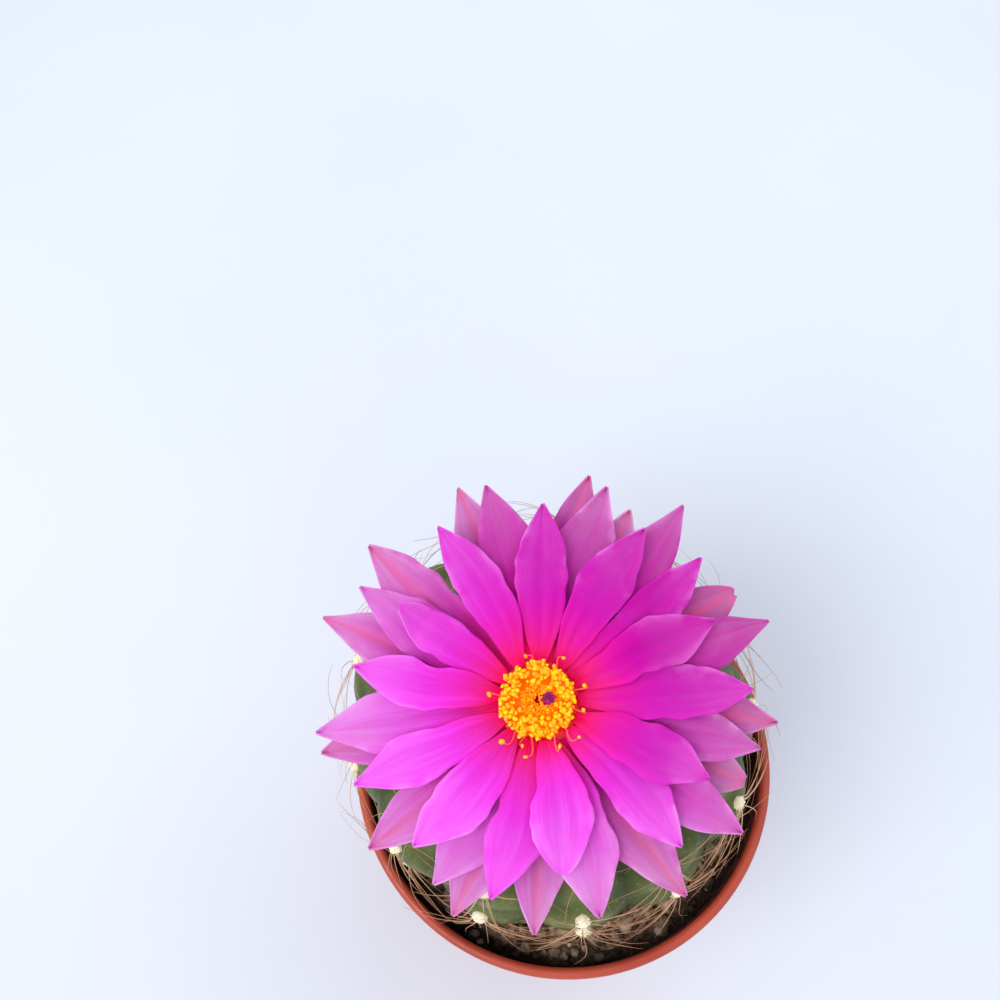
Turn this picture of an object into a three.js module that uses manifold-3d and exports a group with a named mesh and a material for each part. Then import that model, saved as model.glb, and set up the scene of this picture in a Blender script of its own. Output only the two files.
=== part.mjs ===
// A low ribbed cactus with one open flower, in a round nursery pot. Millimetres, +Z up.
// The origin is the centre of the pot's underside, where it stands.
import * as THREE from 'three';
import { mergeVertices } from 'three/addons/utils/BufferGeometryUtils.js';
import Module from 'manifold-3d';

const GAP = 0.3;
const SEED = 20;

// Pot
const POT_HEIGHT = 55;
const RIM_RADIUS = 32.5;
const FOOT_RADIUS = 22.5;
const WALL = 1.2;
const LIP = 1.6;
const BAND_HEIGHT = 9;
const BAND_STEP = 1.6;
const BAND_TAPER = 0.7;
const BAND_SLOPE = 1.8;
const FOOT_ROUND = 0.8;
const FLOOR = 1.6;
const POT_SIDES = 40;
const DRAIN_COUNT = 6;
const DRAIN_RADIUS = 3;
const DRAIN_CIRCLE = 15.5;

// Soil
const SOIL_TOP = 49.5;
const SOIL_LUMP = 0.35;
const SOIL_RINGS = [1, 0.94, 0.87, 0.8, 0.7];
const HOLE_FLARE = 4;
const GRAIN_COUNT = 22;
const GRAIN_RADIUS = [0.5, 1.0];
const GRAIN_FROM_STEM = 2.2;
const GRAIN_FROM_WALL = 1.3;

// Stem: the radius of the rib crests at each height, from the root up to the crown
const STEM_OUTLINE = [
  [0, 36], [8, 37], [14, 40.5], [19.5, 45], [23.5, 50], [27.1, 55], [29.5, 59.5],
  [30.3, 63.5], [29, 67.3], [25.3, 70.4], [18.8, 72.3], [11.4, 73.1], [5, 72.9], [0, 72.6],
];
const STEM_LEAN = [-2.2, 4.4];
const LEAN_FROM = 46;
const LEAN_TO = 66;
const RIB_COUNT = 13;
const RIB_STEPS = 4;
const RIB_DEPTH = 1.3;
const RIB_FROM = 47;
const RIB_FULL = 60;
const CROWN_RADIUS = 15;
const CHIN = 0.5;
const CHIN_DROP = 0.2;
const BURIED_RINGS = 3;
const SHOWN_RINGS = 19;

// Areoles and spines
const AREOLE_STEP = 7.6;
const AREOLE_FIRST = 3;
const AREOLES_PER_RIB = 5;
const AREOLE_RADIUS = 1.2;
const AREOLE_HEIGHT = 0.9;
const SPINE_RADIUS = 0.24;
const SPINE_SUNK = 0.7;
const SPINE_RISE = [0.8, 3.2];
const SPINE_JITTER = 13;
// Each spine's bearing from straight down its rib, in degrees, and its length
const SPINE_FAN = [[-100, 10], [-40, 8], [35, 7], [94, 11]];
const CROWN_FAN = [[-100, 7], [75, 8]];
const CROWN_LEVEL = 3;
const SPINE_CLEAR_OF_SOIL = 1.3;
const SPINE_CLEAR_OF_RIM = 1.2;
// How high a spine may stand in the bloom's own frame, near the cup and further out
const UNDER_CUP = 3.5;
const UNDER_PETALS = 6;

// Bloom: its own frame stands in a socket in the crown, leaning to the front
const BLOOM_AT = [-4.4, 3.1, 72.2];
const BLOOM_TILT = 12;
const TUBE_HEIGHT = 4.8;
const TUBE_FOOT_RADIUS = 3.4;
const TUBE_TOP_RADIUS = 5.2;
const SCALE_ROWS = 2;
const SCALES_PER_ROW = 9;
const SCALE_LENGTH = 1.3;
const SCALE_WIDTH = 0.7;
const SCALE_SPREAD = 1.1;
const SCALE_SUNK = 0.5;

// The cup that the petals grow from, from its floor up its outside and down its inside
const CUP_FLOOR = TUBE_HEIGHT + GAP;
const CUP_WALL = [[4.2, CUP_FLOOR], [6, 6.6], [5.9, 7.2], [4.9, 7.4]];
const WELL_RADIUS = 3.4;
const WELL_FLOOR = 6.1;

// How a petal ends: the width of its tip as a share of its width, and whether it curls up
const POINTED = { width: 0.05, curl: 0 };
const BLUNT = { width: 0.2, curl: 0 };
const CURLED = { width: 0.12, curl: 1 };
const CURL_FROM = 0.72;
const CURL_HEIGHT = 3.2;
const CURL_BACK = 0.8;

// Petals: each one's bearing (clockwise from the back), its reach and how far it bows aside
// (anticlockwise above 0), then its end and its share of the layer's width where they are set
const BLADE = 0.7;
const PETAL_ROOT = 5;
const STATIONS = [0, 0.22, 0.45, 0.68, 0.87, 1];
const ACROSS = 2;
const ROOT_WIDTH = 0.14;
const ROOT_SWELL = 0.78;
const WIDEST_AT = 0.62;
const WIDTH_SHARE = [0.95, 1.08];
const SHOULDER = [1.8, 2.4];
const LEVEL_FROM = 0.4;
const FOLD = [0.25, 0.75];
const RIPPLE = 0.15;
const ROLL = [-0.03, 0.03];
const STACK = 0.5;
const INNER = {
  root: 7.3, rise: 2.7, tip: 0.6, width: 6.9,
  petals: [[1, 27, 0], [32, 27.5, 0.9], [49, 29.5, -1.2], [66, 26, 0.4], [87, 28.5, 0],
    [115, 24.2, 0.3], [136, 26, 0.8], [173, 22, 0.8, BLUNT, 1.1], [195, 26, 1.2, POINTED, 1.12],
    [222, 25, 1.0, POINTED, 1.06], [246, 27, 0.2], [280, 25.5, 0.8], [303, 23.5, 0.3, CURLED, 0.85],
    [329, 27.5, -1.2]],
};
const MIDDLE = {
  root: 7.05, rise: 1.65, tip: -0.2, width: 7.4,
  petals: [[18, 31.5, 0.7], [37, 34, -0.5], [71, 33.5, -0.4], [102, 30, 0], [123, 31.5, 0],
    [165, 28.5, 0.7], [211, 27.5, 1.2], [262, 30.5, 0], [302, 29.5, 0.6], [346, 31, -0.9]],
};
const OUTER = {
  root: 6.7, rise: 0.7, tip: -1.0, width: 7.4,
  petals: [[13, 33, 0.8], [26, 30, -0.2], [61, 31.5, 0, BLUNT], [95, 32.5, 0.5],
    [111, 29.5, 0, BLUNT], [143, 31.5, -0.4], [182, 30, 0.3], [203, 30, 0.7], [230, 30, 0.6],
    [257, 30.5, 0], [291, 32.5, 0.1], [312, 32.5, 0.3], [339, 32.5, -0.4]],
};

// Stamens: each pair is the value for the inmost and the outmost of them
const STAMEN_COUNT = 42;
const GOLDEN_ANGLE = Math.PI * (3 - Math.sqrt(5));
const FILAMENT_RADIUS = 0.2;
const FILAMENT_FOOT_RADIUS = [2.1, 4.1];
const FILAMENT_HEAD_RADIUS = [2.3, 5.2];
const FILAMENT_TOP = [12.2, 10.8];
const FILAMENT_FOOT = 8.4;
const HEAD_SHIFT = -0.55;
const ANTHER_RADIUS = 0.45;
const STAMEN_JITTER = 0.3;
const CLEAR_OF_STIGMA = 1.9;
const CORE_FOOT = WELL_FLOOR + GAP;
const CORE_HOLE = 1.3;
const CORE_DOME = [[2.9, CORE_FOOT], [4.4, 8.5], [4.1, 9.3], [2.6, 9.5], [CORE_HOLE, 9]];

// Pistil
const STYLE_RADIUS = 0.6;
const STYLE_TOP = 12;
const STYLE_LEAN = [1.0, 0.15];
const STIGMA_LOBES = 9;
const STIGMA_LENGTH = 1.5;
const LOBE_RADIUS = 0.35;
const LOBE_SUNK = 0.5;
const LOBE_SPREAD = [0.9, 1.1];

const UP = new THREE.Vector3(0, 0, 1);
const wasm = await Module();
wasm.setup();

// Seeded draws

function seededRandom(seed) {
  let state = seed >>> 0;
  return () => {
    state = (Math.imul(state, 1664525) + 1013904223) >>> 0;
    return state / 2 ** 32;
  };
}

function between(random, low, high) {
  return low + (high - low) * random();
}

// Solids

function toSolid(geometry) {
  const bare = geometry.clone();
  bare.deleteAttribute('normal');
  bare.deleteAttribute('uv');
  const merged = mergeVertices(bare, 1e-4);
  const corners = [];
  for (let i = 0; i < merged.index.count; i += 3) {
    const [a, b, c] = [0, 1, 2].map((k) => merged.index.getX(i + k));
    if (a !== b && b !== c && c !== a) {
      corners.push(a, b, c);
    }
  }
  return new wasm.Manifold(new wasm.Mesh({
    numProp: 3,
    vertProperties: Float32Array.from(merged.attributes.position.array),
    triVerts: Uint32Array.from(corners),
  }));
}

function fuse(geometries) {
  return wasm.Manifold.union(geometries.map(toSolid));
}

// The outer skin of the largest piece, with sealed hollows filled and loose scraps dropped
function oneBody(solid) {
  const pieces = solid.decompose();
  return pieces.reduce((best, piece) => (piece.volume() > best.volume() ? piece : best));
}

function toMesh(name, solid, look) {
  const { vertProperties, triVerts } = solid.getMesh();
  const geometry = new THREE.BufferGeometry();
  geometry.setAttribute('position', new THREE.BufferAttribute(vertProperties, 3));
  geometry.setIndex(new THREE.BufferAttribute(triVerts, 1));
  geometry.computeVertexNormals();
  const mesh = new THREE.Mesh(geometry, new THREE.MeshStandardMaterial(look));
  mesh.name = name;
  return mesh;
}

// A turned shape about Z from points of radius and height
function turned(points, sides) {
  const outline = points.map(([radius, height]) => new THREE.Vector2(radius, height));
  return new THREE.LatheGeometry(outline, sides).rotateX(Math.PI / 2);
}

function eachPoint(geometry, change) {
  const position = geometry.attributes.position;
  const point = new THREE.Vector3();
  for (let i = 0; i < position.count; i += 1) {
    point.fromBufferAttribute(position, i);
    change(point, i);
    position.setXYZ(i, point.x, point.y, point.z);
  }
  return geometry;
}

// Stretches a unit rod standing on Y from its foot to its tip along the points of route(0..1)
function along(rod, route) {
  const whole = route(1).sub(route(0)).normalize();
  const side = new THREE.Vector3().crossVectors(whole, UP).normalize();
  const other = new THREE.Vector3().crossVectors(whole, side);
  return eachPoint(rod, (point) => {
    const centre = route(point.y + 0.5);
    point.copy(centre.addScaledVector(side, point.x).addScaledVector(other, -point.z));
  });
}

// A closed sheet of even thickness about an open surface, split alike on both faces
function thicken(surface, thickness) {
  const middle = surface.attributes.position;
  const count = middle.count;
  const faces = Array.from(surface.index.array);
  const places = [];
  for (const half of [thickness / 2, -thickness / 2]) {
    for (let i = 0; i < count; i += 1) {
      places.push(middle.getX(i), middle.getY(i), middle.getZ(i) + half);
    }
  }
  const edges = new Map();
  const corners = [];
  for (let i = 0; i < faces.length; i += 3) {
    const [a, b, c] = faces.slice(i, i + 3);
    corners.push(a, b, c, a + count, c + count, b + count);
    for (const [from, to] of [[a, b], [b, c], [c, a]]) {
      edges.set(`${from},${to}`, [from, to]);
    }
  }
  for (const [from, to] of edges.values()) {
    if (!edges.has(`${to},${from}`)) {
      corners.push(to, from, from + count, to, from + count, to + count);
    }
  }
  const sheet = new THREE.BufferGeometry();
  sheet.setAttribute('position', new THREE.Float32BufferAttribute(places, 3));
  sheet.setIndex(corners);
  return sheet;
}

// Pot

const bandFoot = POT_HEIGHT - BAND_HEIGHT;
const bandRadius = RIM_RADIUS - BAND_TAPER;
const wallTopRadius = bandRadius - BAND_STEP;

// The inner wall from the floor up to the band, set in by a gap
function innerWall(gap) {
  return [
    [FOOT_RADIUS - WALL - gap, FLOOR + gap],
    [wallTopRadius - WALL - gap, bandFoot],
    [bandRadius - WALL - gap, bandFoot + BAND_SLOPE],
  ];
}

function lipArc() {
  return [0, 1, 2, 3, 4].map((step) => {
    const angle = (Math.PI * step) / 4;
    const across = RIM_RADIUS - LIP / 2 + (LIP / 2) * Math.cos(angle);
    return [across, POT_HEIGHT - LIP / 2 + (LIP / 2) * Math.sin(angle)];
  });
}

function drainHole(index) {
  const angle = (index * 2 * Math.PI) / DRAIN_COUNT;
  const hole = new THREE.CylinderGeometry(DRAIN_RADIUS, DRAIN_RADIUS, 4 * FLOOR, 12);
  hole.rotateX(Math.PI / 2);
  return hole.translate(DRAIN_CIRCLE * Math.cos(angle), DRAIN_CIRCLE * Math.sin(angle), 0);
}

function makePot() {
  const shell = turned([
    [0, 0],
    [FOOT_RADIUS - FOOT_ROUND, 0],
    [FOOT_RADIUS, FOOT_ROUND],
    [wallTopRadius, bandFoot - BAND_SLOPE / 2],
    [bandRadius, bandFoot],
    ...lipArc(),
    ...innerWall(0).reverse(),
    [0, FLOOR],
  ], POT_SIDES);
  const holes = Array.from({ length: DRAIN_COUNT }, (_, index) => drainHole(index));
  const solid = toSolid(shell).subtract(fuse(holes));
  return toMesh('pot', solid, { color: 0xa8563a, roughness: 0.5, metalness: 0 });
}

// Stem surface

const outlineCurve = new THREE.SplineCurve(
  STEM_OUTLINE.map(([radius, height]) => new THREE.Vector2(radius, height)),
);
const outlineLength = outlineCurve.getLength();
const soilShare = shareAtHeight(SOIL_TOP);

// The share of the outline's length at which its lower half reaches a height
function shareAtHeight(height) {
  let [low, high] = [0, 0.6];
  for (let step = 0; step < 30; step += 1) {
    const middle = (low + high) / 2;
    [low, high] = outlineCurve.getPointAt(middle).y < height ? [middle, high] : [low, middle];
  }
  return low;
}

function leanAt(height) {
  const share = THREE.MathUtils.smoothstep(height, LEAN_FROM, LEAN_TO);
  return new THREE.Vector3(STEM_LEAN[0] * share, STEM_LEAN[1] * share, 0);
}

// A point at a height off the surface through the rib crests
function crestPoint(angle, share, off) {
  const at = outlineCurve.getPointAt(share);
  const tangent = outlineCurve.getTangentAt(share);
  const radius = at.x + tangent.y * off;
  const height = at.y - tangent.x * off;
  const point = new THREE.Vector3(radius * Math.cos(angle), radius * Math.sin(angle), height);
  return point.add(leanAt(height));
}

// How deep the grooves lie, fading out in the soil and on the crown
function grooveDepth(share) {
  const at = outlineCurve.getPointAt(share);
  const above = THREE.MathUtils.smoothstep(at.y, RIB_FROM, RIB_FULL);
  return RIB_DEPTH * above * THREE.MathUtils.smoothstep(at.x, 0, CROWN_RADIUS);
}

function areoleOffset(rib) {
  return AREOLE_FIRST + (rib % 2) * (AREOLE_STEP / 2);
}

// How far the surface stands off the crest outline: rounded ribs, with a chin below each areole
function relief(angle, share) {
  const turns = (angle / (2 * Math.PI)) * RIB_COUNT;
  const rib = Math.round(turns);
  const aside = 2 * Math.abs(turns - rib);
  const depth = grooveDepth(share);
  const arc = (share - soilShare) * outlineLength;
  const phase = (arc - areoleOffset((rib + RIB_COUNT) % RIB_COUNT)) / AREOLE_STEP + CHIN_DROP;
  const chin = CHIN * (depth / RIB_DEPTH) * (1 - aside ** 2) * Math.cos(2 * Math.PI * phase);
  return chin - depth * aside ** 2;
}

function stemShares() {
  const buried = Array.from({ length: BURIED_RINGS }, (_, i) => (soilShare * i) / BURIED_RINGS);
  const shown = Array.from({ length: SHOWN_RINGS + 1 }, (_, i) => (
    soilShare + ((1 - soilShare) * i) / SHOWN_RINGS
  ));
  return [...buried, ...shown];
}

function stemBody() {
  const shares = stemShares();
  const rings = shares.map((share) => outlineCurve.getPointAt(share).toArray());
  rings[0][0] = 0;
  rings[rings.length - 1][0] = 0;
  const body = turned(rings, RIB_COUNT * RIB_STEPS);
  return eachPoint(body, (point, i) => {
    const share = shares[i % shares.length];
    const angle = Math.atan2(point.y, point.x);
    if (Math.hypot(point.x, point.y) < 1e-6) {
      point.add(leanAt(point.z));
    } else {
      point.copy(crestPoint(angle, share, relief(angle, share)));
    }
  });
}

// Areoles and spines

function areolePlaces() {
  const places = [];
  for (let rib = 0; rib < RIB_COUNT; rib += 1) {
    for (let level = 0; level < AREOLES_PER_RIB; level += 1) {
      const arc = areoleOffset(rib) + level * AREOLE_STEP;
      const angle = (2 * Math.PI * rib) / RIB_COUNT;
      places.push({ angle, level, share: soilShare + arc / outlineLength });
    }
  }
  return places;
}

function areoleTuft(place) {
  const tuft = new THREE.SphereGeometry(1, 6, 2).rotateX(Math.PI / 2);
  tuft.scale(AREOLE_RADIUS, AREOLE_RADIUS, AREOLE_HEIGHT);
  const foot = crestPoint(place.angle, place.share, 0);
  const outward = crestPoint(place.angle, place.share, 1).sub(foot).normalize();
  tuft.applyQuaternion(new THREE.Quaternion().setFromUnitVectors(UP, outward));
  return tuft.translate(foot.x, foot.y, foot.z);
}

const bloomFrame = new THREE.Matrix4()
  .makeRotationX(THREE.MathUtils.degToRad(BLOOM_TILT))
  .setPosition(...BLOOM_AT);
const bloomInverse = bloomFrame.clone().invert();

// Moves a spine's point out of the soil, the pot and the space under the petals
function keptClear(point) {
  const wallRadius = bandRadius - WALL - 2 * GAP;
  const across = Math.hypot(point.x, point.y);
  point.z = Math.max(point.z, SOIL_TOP + SPINE_CLEAR_OF_SOIL);
  if (point.z < POT_HEIGHT + SPINE_CLEAR_OF_RIM && across > wallRadius) {
    point.x *= wallRadius / across;
    point.y *= wallRadius / across;
  }
  const inBloom = point.clone().applyMatrix4(bloomInverse);
  const fromAxis = Math.hypot(inBloom.x, inBloom.y);
  const roof = fromAxis < 2 * PETAL_ROOT ? UNDER_CUP : UNDER_PETALS;
  inBloom.z = Math.min(inBloom.z, roof);
  return inBloom.applyMatrix4(bloomFrame);
}

// A spine leaves its areole at a bearing and follows the curve of the stem, rising off it
function spine(place, bearing, length, rise) {
  const turn = THREE.MathUtils.degToRad(bearing);
  const radius = outlineCurve.getPointAt(place.share).x;
  const swing = (length * Math.sin(turn)) / (radius + rise);
  const drop = (length * Math.cos(turn)) / outlineLength;
  const route = (share) => {
    const off = share === 0 ? -SPINE_SUNK : AREOLE_HEIGHT + rise * share;
    const angle = place.angle + swing * share;
    const point = crestPoint(angle, Math.max(place.share - drop * share, soilShare), off);
    return share === 0 ? point : keptClear(point);
  };
  return along(new THREE.ConeGeometry(SPINE_RADIUS, 1, 3, 1), route);
}

function spines(random) {
  return areolePlaces().flatMap((place) => {
    const fan = place.level < CROWN_LEVEL ? SPINE_FAN : CROWN_FAN;
    return fan.map(([bearing, length]) => spine(
      place,
      bearing + between(random, -SPINE_JITTER, SPINE_JITTER),
      length * between(random, 0.8, 1.2),
      between(random, ...SPINE_RISE),
    ));
  });
}

// The socket in the crown that the flower's tube stands in
function bloomSocket() {
  const radius = TUBE_FOOT_RADIUS + GAP;
  const socket = new THREE.CylinderGeometry(radius + 1, radius, TUBE_HEIGHT, 20);
  socket.rotateX(Math.PI / 2).translate(0, 0, TUBE_HEIGHT / 2 - GAP);
  return toSolid(socket.applyMatrix4(bloomFrame));
}

function makeStem() {
  const random = seededRandom(SEED);
  const tufts = areolePlaces().map(areoleTuft);
  const solid = fuse([stemBody(), ...tufts, ...spines(random)]).subtract(bloomSocket());
  return toMesh('stem', oneBody(solid), { color: 0x4f6b2c, roughness: 0.45, metalness: 0 });
}

// Soil

function lumpAt(x, y) {
  return SOIL_LUMP * (Math.sin(0.9 * x + 1) * Math.cos(0.7 * y) + 0.6 * Math.sin(1.9 * y - x));
}

// The plain hole that the foot of the stem stands in
function stemHole() {
  const foot = STEM_OUTLINE.filter(([, height]) => height < SOIL_TOP);
  const [topRadius, topHeight] = STEM_OUTLINE[foot.length];
  const wall = foot.map(([radius, height]) => [radius ? radius + 2 * GAP : 0, height - GAP]);
  const above = topHeight + HOLE_FLARE;
  wall.push([topRadius + 2 * GAP, topHeight], [topRadius + HOLE_FLARE, above], [0, above]);
  const hole = turned(wall, 2 * RIB_COUNT);
  return toSolid(eachPoint(hole, (point) => point.add(leanAt(point.z))));
}

function grain(random) {
  const stemRadius = outlineCurve.getPointAt(soilShare).x;
  const lean = leanAt(SOIL_TOP);
  const size = between(random, ...GRAIN_RADIUS);
  const most = bandRadius - WALL - GAP - GRAIN_FROM_WALL * size;
  const angle = between(random, 0, 2 * Math.PI);
  const direction = new THREE.Vector3(Math.cos(angle), Math.sin(angle), 0);
  const least = stemRadius + direction.dot(lean) + GRAIN_FROM_STEM;
  const spot = direction.multiplyScalar(between(random, least, most));
  const lump = new THREE.IcosahedronGeometry(size, 0);
  lump.scale(between(random, 0.8, 1.2), between(random, 0.8, 1.2), between(random, 0.6, 0.9));
  lump.rotateZ(between(random, 0, Math.PI));
  return lump.translate(spot.x, spot.y, SOIL_TOP + 0.1);
}

function makeSoil() {
  const random = seededRandom(SEED + 1);
  const wall = innerWall(GAP);
  const edge = wall[wall.length - 1][0];
  const surface = SOIL_RINGS.map((share) => [edge * share, SOIL_TOP]);
  const block = turned([[0, FLOOR + GAP], ...wall, ...surface, [0, SOIL_TOP]], POT_SIDES);
  eachPoint(block, (point) => {
    if (point.z > SOIL_TOP - 0.01) {
      point.z += lumpAt(point.x, point.y);
    }
  });
  const grains = Array.from({ length: GRAIN_COUNT }, () => grain(random));
  const solid = fuse([block, ...grains]).subtract(stemHole());
  return toMesh('soil', oneBody(solid), { color: 0x3a2a20, roughness: 0.95, metalness: 0 });
}

// Flower tube

function tubeRadius(height) {
  const share = THREE.MathUtils.smoothstep(height, 0, TUBE_HEIGHT);
  return THREE.MathUtils.lerp(TUBE_FOOT_RADIUS, TUBE_TOP_RADIUS, share);
}

function tubeScale(row, index) {
  const height = (TUBE_HEIGHT * (row + 1.3)) / (SCALE_ROWS + 2);
  const angle = ((index + row / 2) * 2 * Math.PI) / SCALES_PER_ROW;
  const root = tubeRadius(height) - SCALE_SUNK;
  const route = (share) => new THREE.Vector3(
    (root + SCALE_SPREAD * share) * Math.cos(angle),
    (root + SCALE_SPREAD * share) * Math.sin(angle),
    height + SCALE_LENGTH * share,
  );
  return along(new THREE.ConeGeometry(SCALE_WIDTH, 1, 4, 1), route);
}

function makeFlowerTube() {
  const heights = [0, 0.25, 0.5, 0.75, 1].map((share) => share * TUBE_HEIGHT);
  const wall = heights.map((height) => [tubeRadius(height), height]);
  const parts = [turned([[0, 0], ...wall, [0, TUBE_HEIGHT]], 18)];
  for (let row = 0; row < SCALE_ROWS; row += 1) {
    for (let index = 0; index < SCALES_PER_ROW; index += 1) {
      parts.push(tubeScale(row, index));
    }
  }
  const look = { color: 0x6b6a3a, roughness: 0.7, metalness: 0 };
  return toMesh('flower_tube', oneBody(fuse(parts)), look);
}

// Petals

// The share of a petal's full half width at a share of its length
function petalOutline(share, tipWidth, shoulder) {
  if (share < WIDEST_AT) {
    const swell = Math.sin((Math.PI / 2) * (share / WIDEST_AT)) ** ROOT_SWELL;
    return ROOT_WIDTH + (1 - ROOT_WIDTH) * swell;
  }
  return 1 - (1 - tipWidth) * ((share - WIDEST_AT) / (1 - WIDEST_AT)) ** shoulder;
}

// Every second petal of a layer lies over its neighbours
function petal(layer, plan, index, random) {
  const [bearing, reach, bow, end = POINTED, broad = 0] = plan;
  const angle = THREE.MathUtils.degToRad(bearing);
  const outward = new THREE.Vector3(Math.sin(angle), Math.cos(angle), 0);
  const aside = new THREE.Vector3().crossVectors(UP, outward);
  const drawn = between(random, ...WIDTH_SHARE);
  const width = layer.width * (broad || drawn);
  const shoulder = between(random, ...SHOULDER);
  const fold = between(random, ...FOLD);
  const roll = between(random, ...ROLL);
  const wave = between(random, 0, 2 * Math.PI);
  const surface = new THREE.PlaneGeometry(1, 2, STATIONS.length - 1, ACROSS);
  eachPoint(surface, (point, i) => {
    const share = STATIONS[i % STATIONS.length];
    const across = point.y;
    const off = (width / 2) * petalOutline(share, end.width, shoulder) * across;
    const climb = 1 - (1 - Math.min(1, share / LEVEL_FROM)) ** 2;
    const bend = (2 * Math.max(0, share - 0.5)) ** 2;
    const curl = end.curl * THREE.MathUtils.smoothstep(share, CURL_FROM, 1);
    const ripple = RIPPLE * Math.sin(7 * share + wave) * across * share;
    const rolled = fold * across ** 2 * share + ripple + roll * off;
    const lift = STACK * (index % 2) * climb + CURL_HEIGHT * curl;
    point.copy(outward).multiplyScalar(PETAL_ROOT + (reach - PETAL_ROOT) * share - CURL_BACK * curl);
    point.addScaledVector(aside, off + bow * Math.sin(Math.PI * share));
    point.z = layer.root + layer.rise * climb + layer.tip * bend + rolled + lift;
  });
  return thicken(surface, BLADE);
}

function petalCup() {
  const well = [[WELL_RADIUS, WELL_FLOOR], [0, WELL_FLOOR]];
  return turned([[0, CUP_FLOOR], ...CUP_WALL, ...well], 24);
}

function makePetals() {
  const random = seededRandom(SEED + 2);
  const blades = [OUTER, MIDDLE, INNER].flatMap((layer) => (
    layer.petals.map((plan, index) => petal(layer, plan, index, random))
  ));
  const look = { color: 0xc8259a, roughness: 0.5, metalness: 0 };
  return toMesh('petals', oneBody(fuse([petalCup(), ...blades])), look);
}

// Stamens

// Moves a stamen's head aside from the stigma
function clearOfStigma(head) {
  const from = new THREE.Vector2(head.x - STYLE_LEAN[0], head.y - STYLE_LEAN[1]);
  if (from.length() < CLEAR_OF_STIGMA) {
    from.setLength(CLEAR_OF_STIGMA);
  }
  return head.setX(STYLE_LEAN[0] + from.x).setY(STYLE_LEAN[1] + from.y);
}

// A stamen at a share of the way from the middle of the ring to its edge
function stamen(share, index, random) {
  const { lerp } = THREE.MathUtils;
  const jitter = () => between(random, -STAMEN_JITTER, STAMEN_JITTER);
  const angle = index * GOLDEN_ANGLE + jitter();
  const out = new THREE.Vector3(Math.cos(angle), Math.sin(angle), 0);
  const foot = out.clone().multiplyScalar(lerp(...FILAMENT_FOOT_RADIUS, share)).setZ(FILAMENT_FOOT);
  const head = out.clone().multiplyScalar(lerp(...FILAMENT_HEAD_RADIUS, share) + jitter());
  head.x += HEAD_SHIFT;
  clearOfStigma(head).setZ(lerp(...FILAMENT_TOP, share ** 2) + jitter());
  const rod = new THREE.CylinderGeometry(FILAMENT_RADIUS, FILAMENT_RADIUS, 1, 3, 1);
  const anther = new THREE.OctahedronGeometry(ANTHER_RADIUS, 0).scale(1, 1, 1.3);
  anther.rotateZ(angle).translate(head.x, head.y, head.z);
  return [along(rod, (climb) => foot.clone().lerp(head, climb)), anther];
}

// The ring that the filaments stand out of, round the hole for the style
function stamenCore() {
  return turned([[CORE_HOLE, CORE_FOOT], ...CORE_DOME, [CORE_HOLE, CORE_FOOT]], 20);
}

function makeStamens() {
  const random = seededRandom(SEED + 3);
  const parts = Array.from({ length: STAMEN_COUNT }, (_, index) => (
    stamen(Math.sqrt((index + 0.5) / STAMEN_COUNT), index, random)
  ));
  const look = { color: 0xe8b21c, roughness: 0.6, metalness: 0 };
  return toMesh('stamens', oneBody(fuse([stamenCore(), ...parts.flat()])), look);
}

// Pistil

function stylePoint(share) {
  return new THREE.Vector3(
    STYLE_LEAN[0] * share ** 2,
    STYLE_LEAN[1] * share ** 2,
    THREE.MathUtils.lerp(CORE_FOOT, STYLE_TOP, share),
  );
}

function stigmaLobe(index) {
  const angle = (index * 2 * Math.PI) / STIGMA_LOBES;
  const spread = LOBE_SPREAD[index % 2];
  const route = (share) => stylePoint(1).add(new THREE.Vector3(
    spread * share * Math.cos(angle),
    spread * share * Math.sin(angle),
    STIGMA_LENGTH * share - LOBE_SUNK,
  ));
  return along(new THREE.ConeGeometry(LOBE_RADIUS, 1, 4, 1), route);
}

function makePistil() {
  const rod = new THREE.CylinderGeometry(STYLE_RADIUS, STYLE_RADIUS, 1, 8, 3);
  const lobes = Array.from({ length: STIGMA_LOBES }, (_, index) => stigmaLobe(index));
  const look = { color: 0x8e1450, roughness: 0.6, metalness: 0 };
  return toMesh('pistil', oneBody(fuse([along(rod, stylePoint), ...lobes])), look);
}

function makeBloom() {
  const bloom = new THREE.Group();
  bloom.position.set(...BLOOM_AT);
  bloom.rotation.x = THREE.MathUtils.degToRad(BLOOM_TILT);
  bloom.add(makeFlowerTube(), makePetals(), makeStamens(), makePistil());
  return bloom;
}

const plant = new THREE.Group();
plant.add(makePot(), makeSoil(), makeStem(), makeBloom());

export default plant;
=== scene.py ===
"""A low ribbed cactus in bloom, in a small round nursery pot, dressed over its solid frame.

Shapes are worked out in millimetres, with the same values as the solids, and a finished piece
is scaled to metres. The flower is made upright on its own axis and then leaned into place.
"""
import logging
import math
from collections.abc import Callable, Iterator, Sequence
from dataclasses import dataclass, field
from enum import Enum

import bmesh
import bpy
from mathutils import Euler, Matrix, Vector, noise


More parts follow.
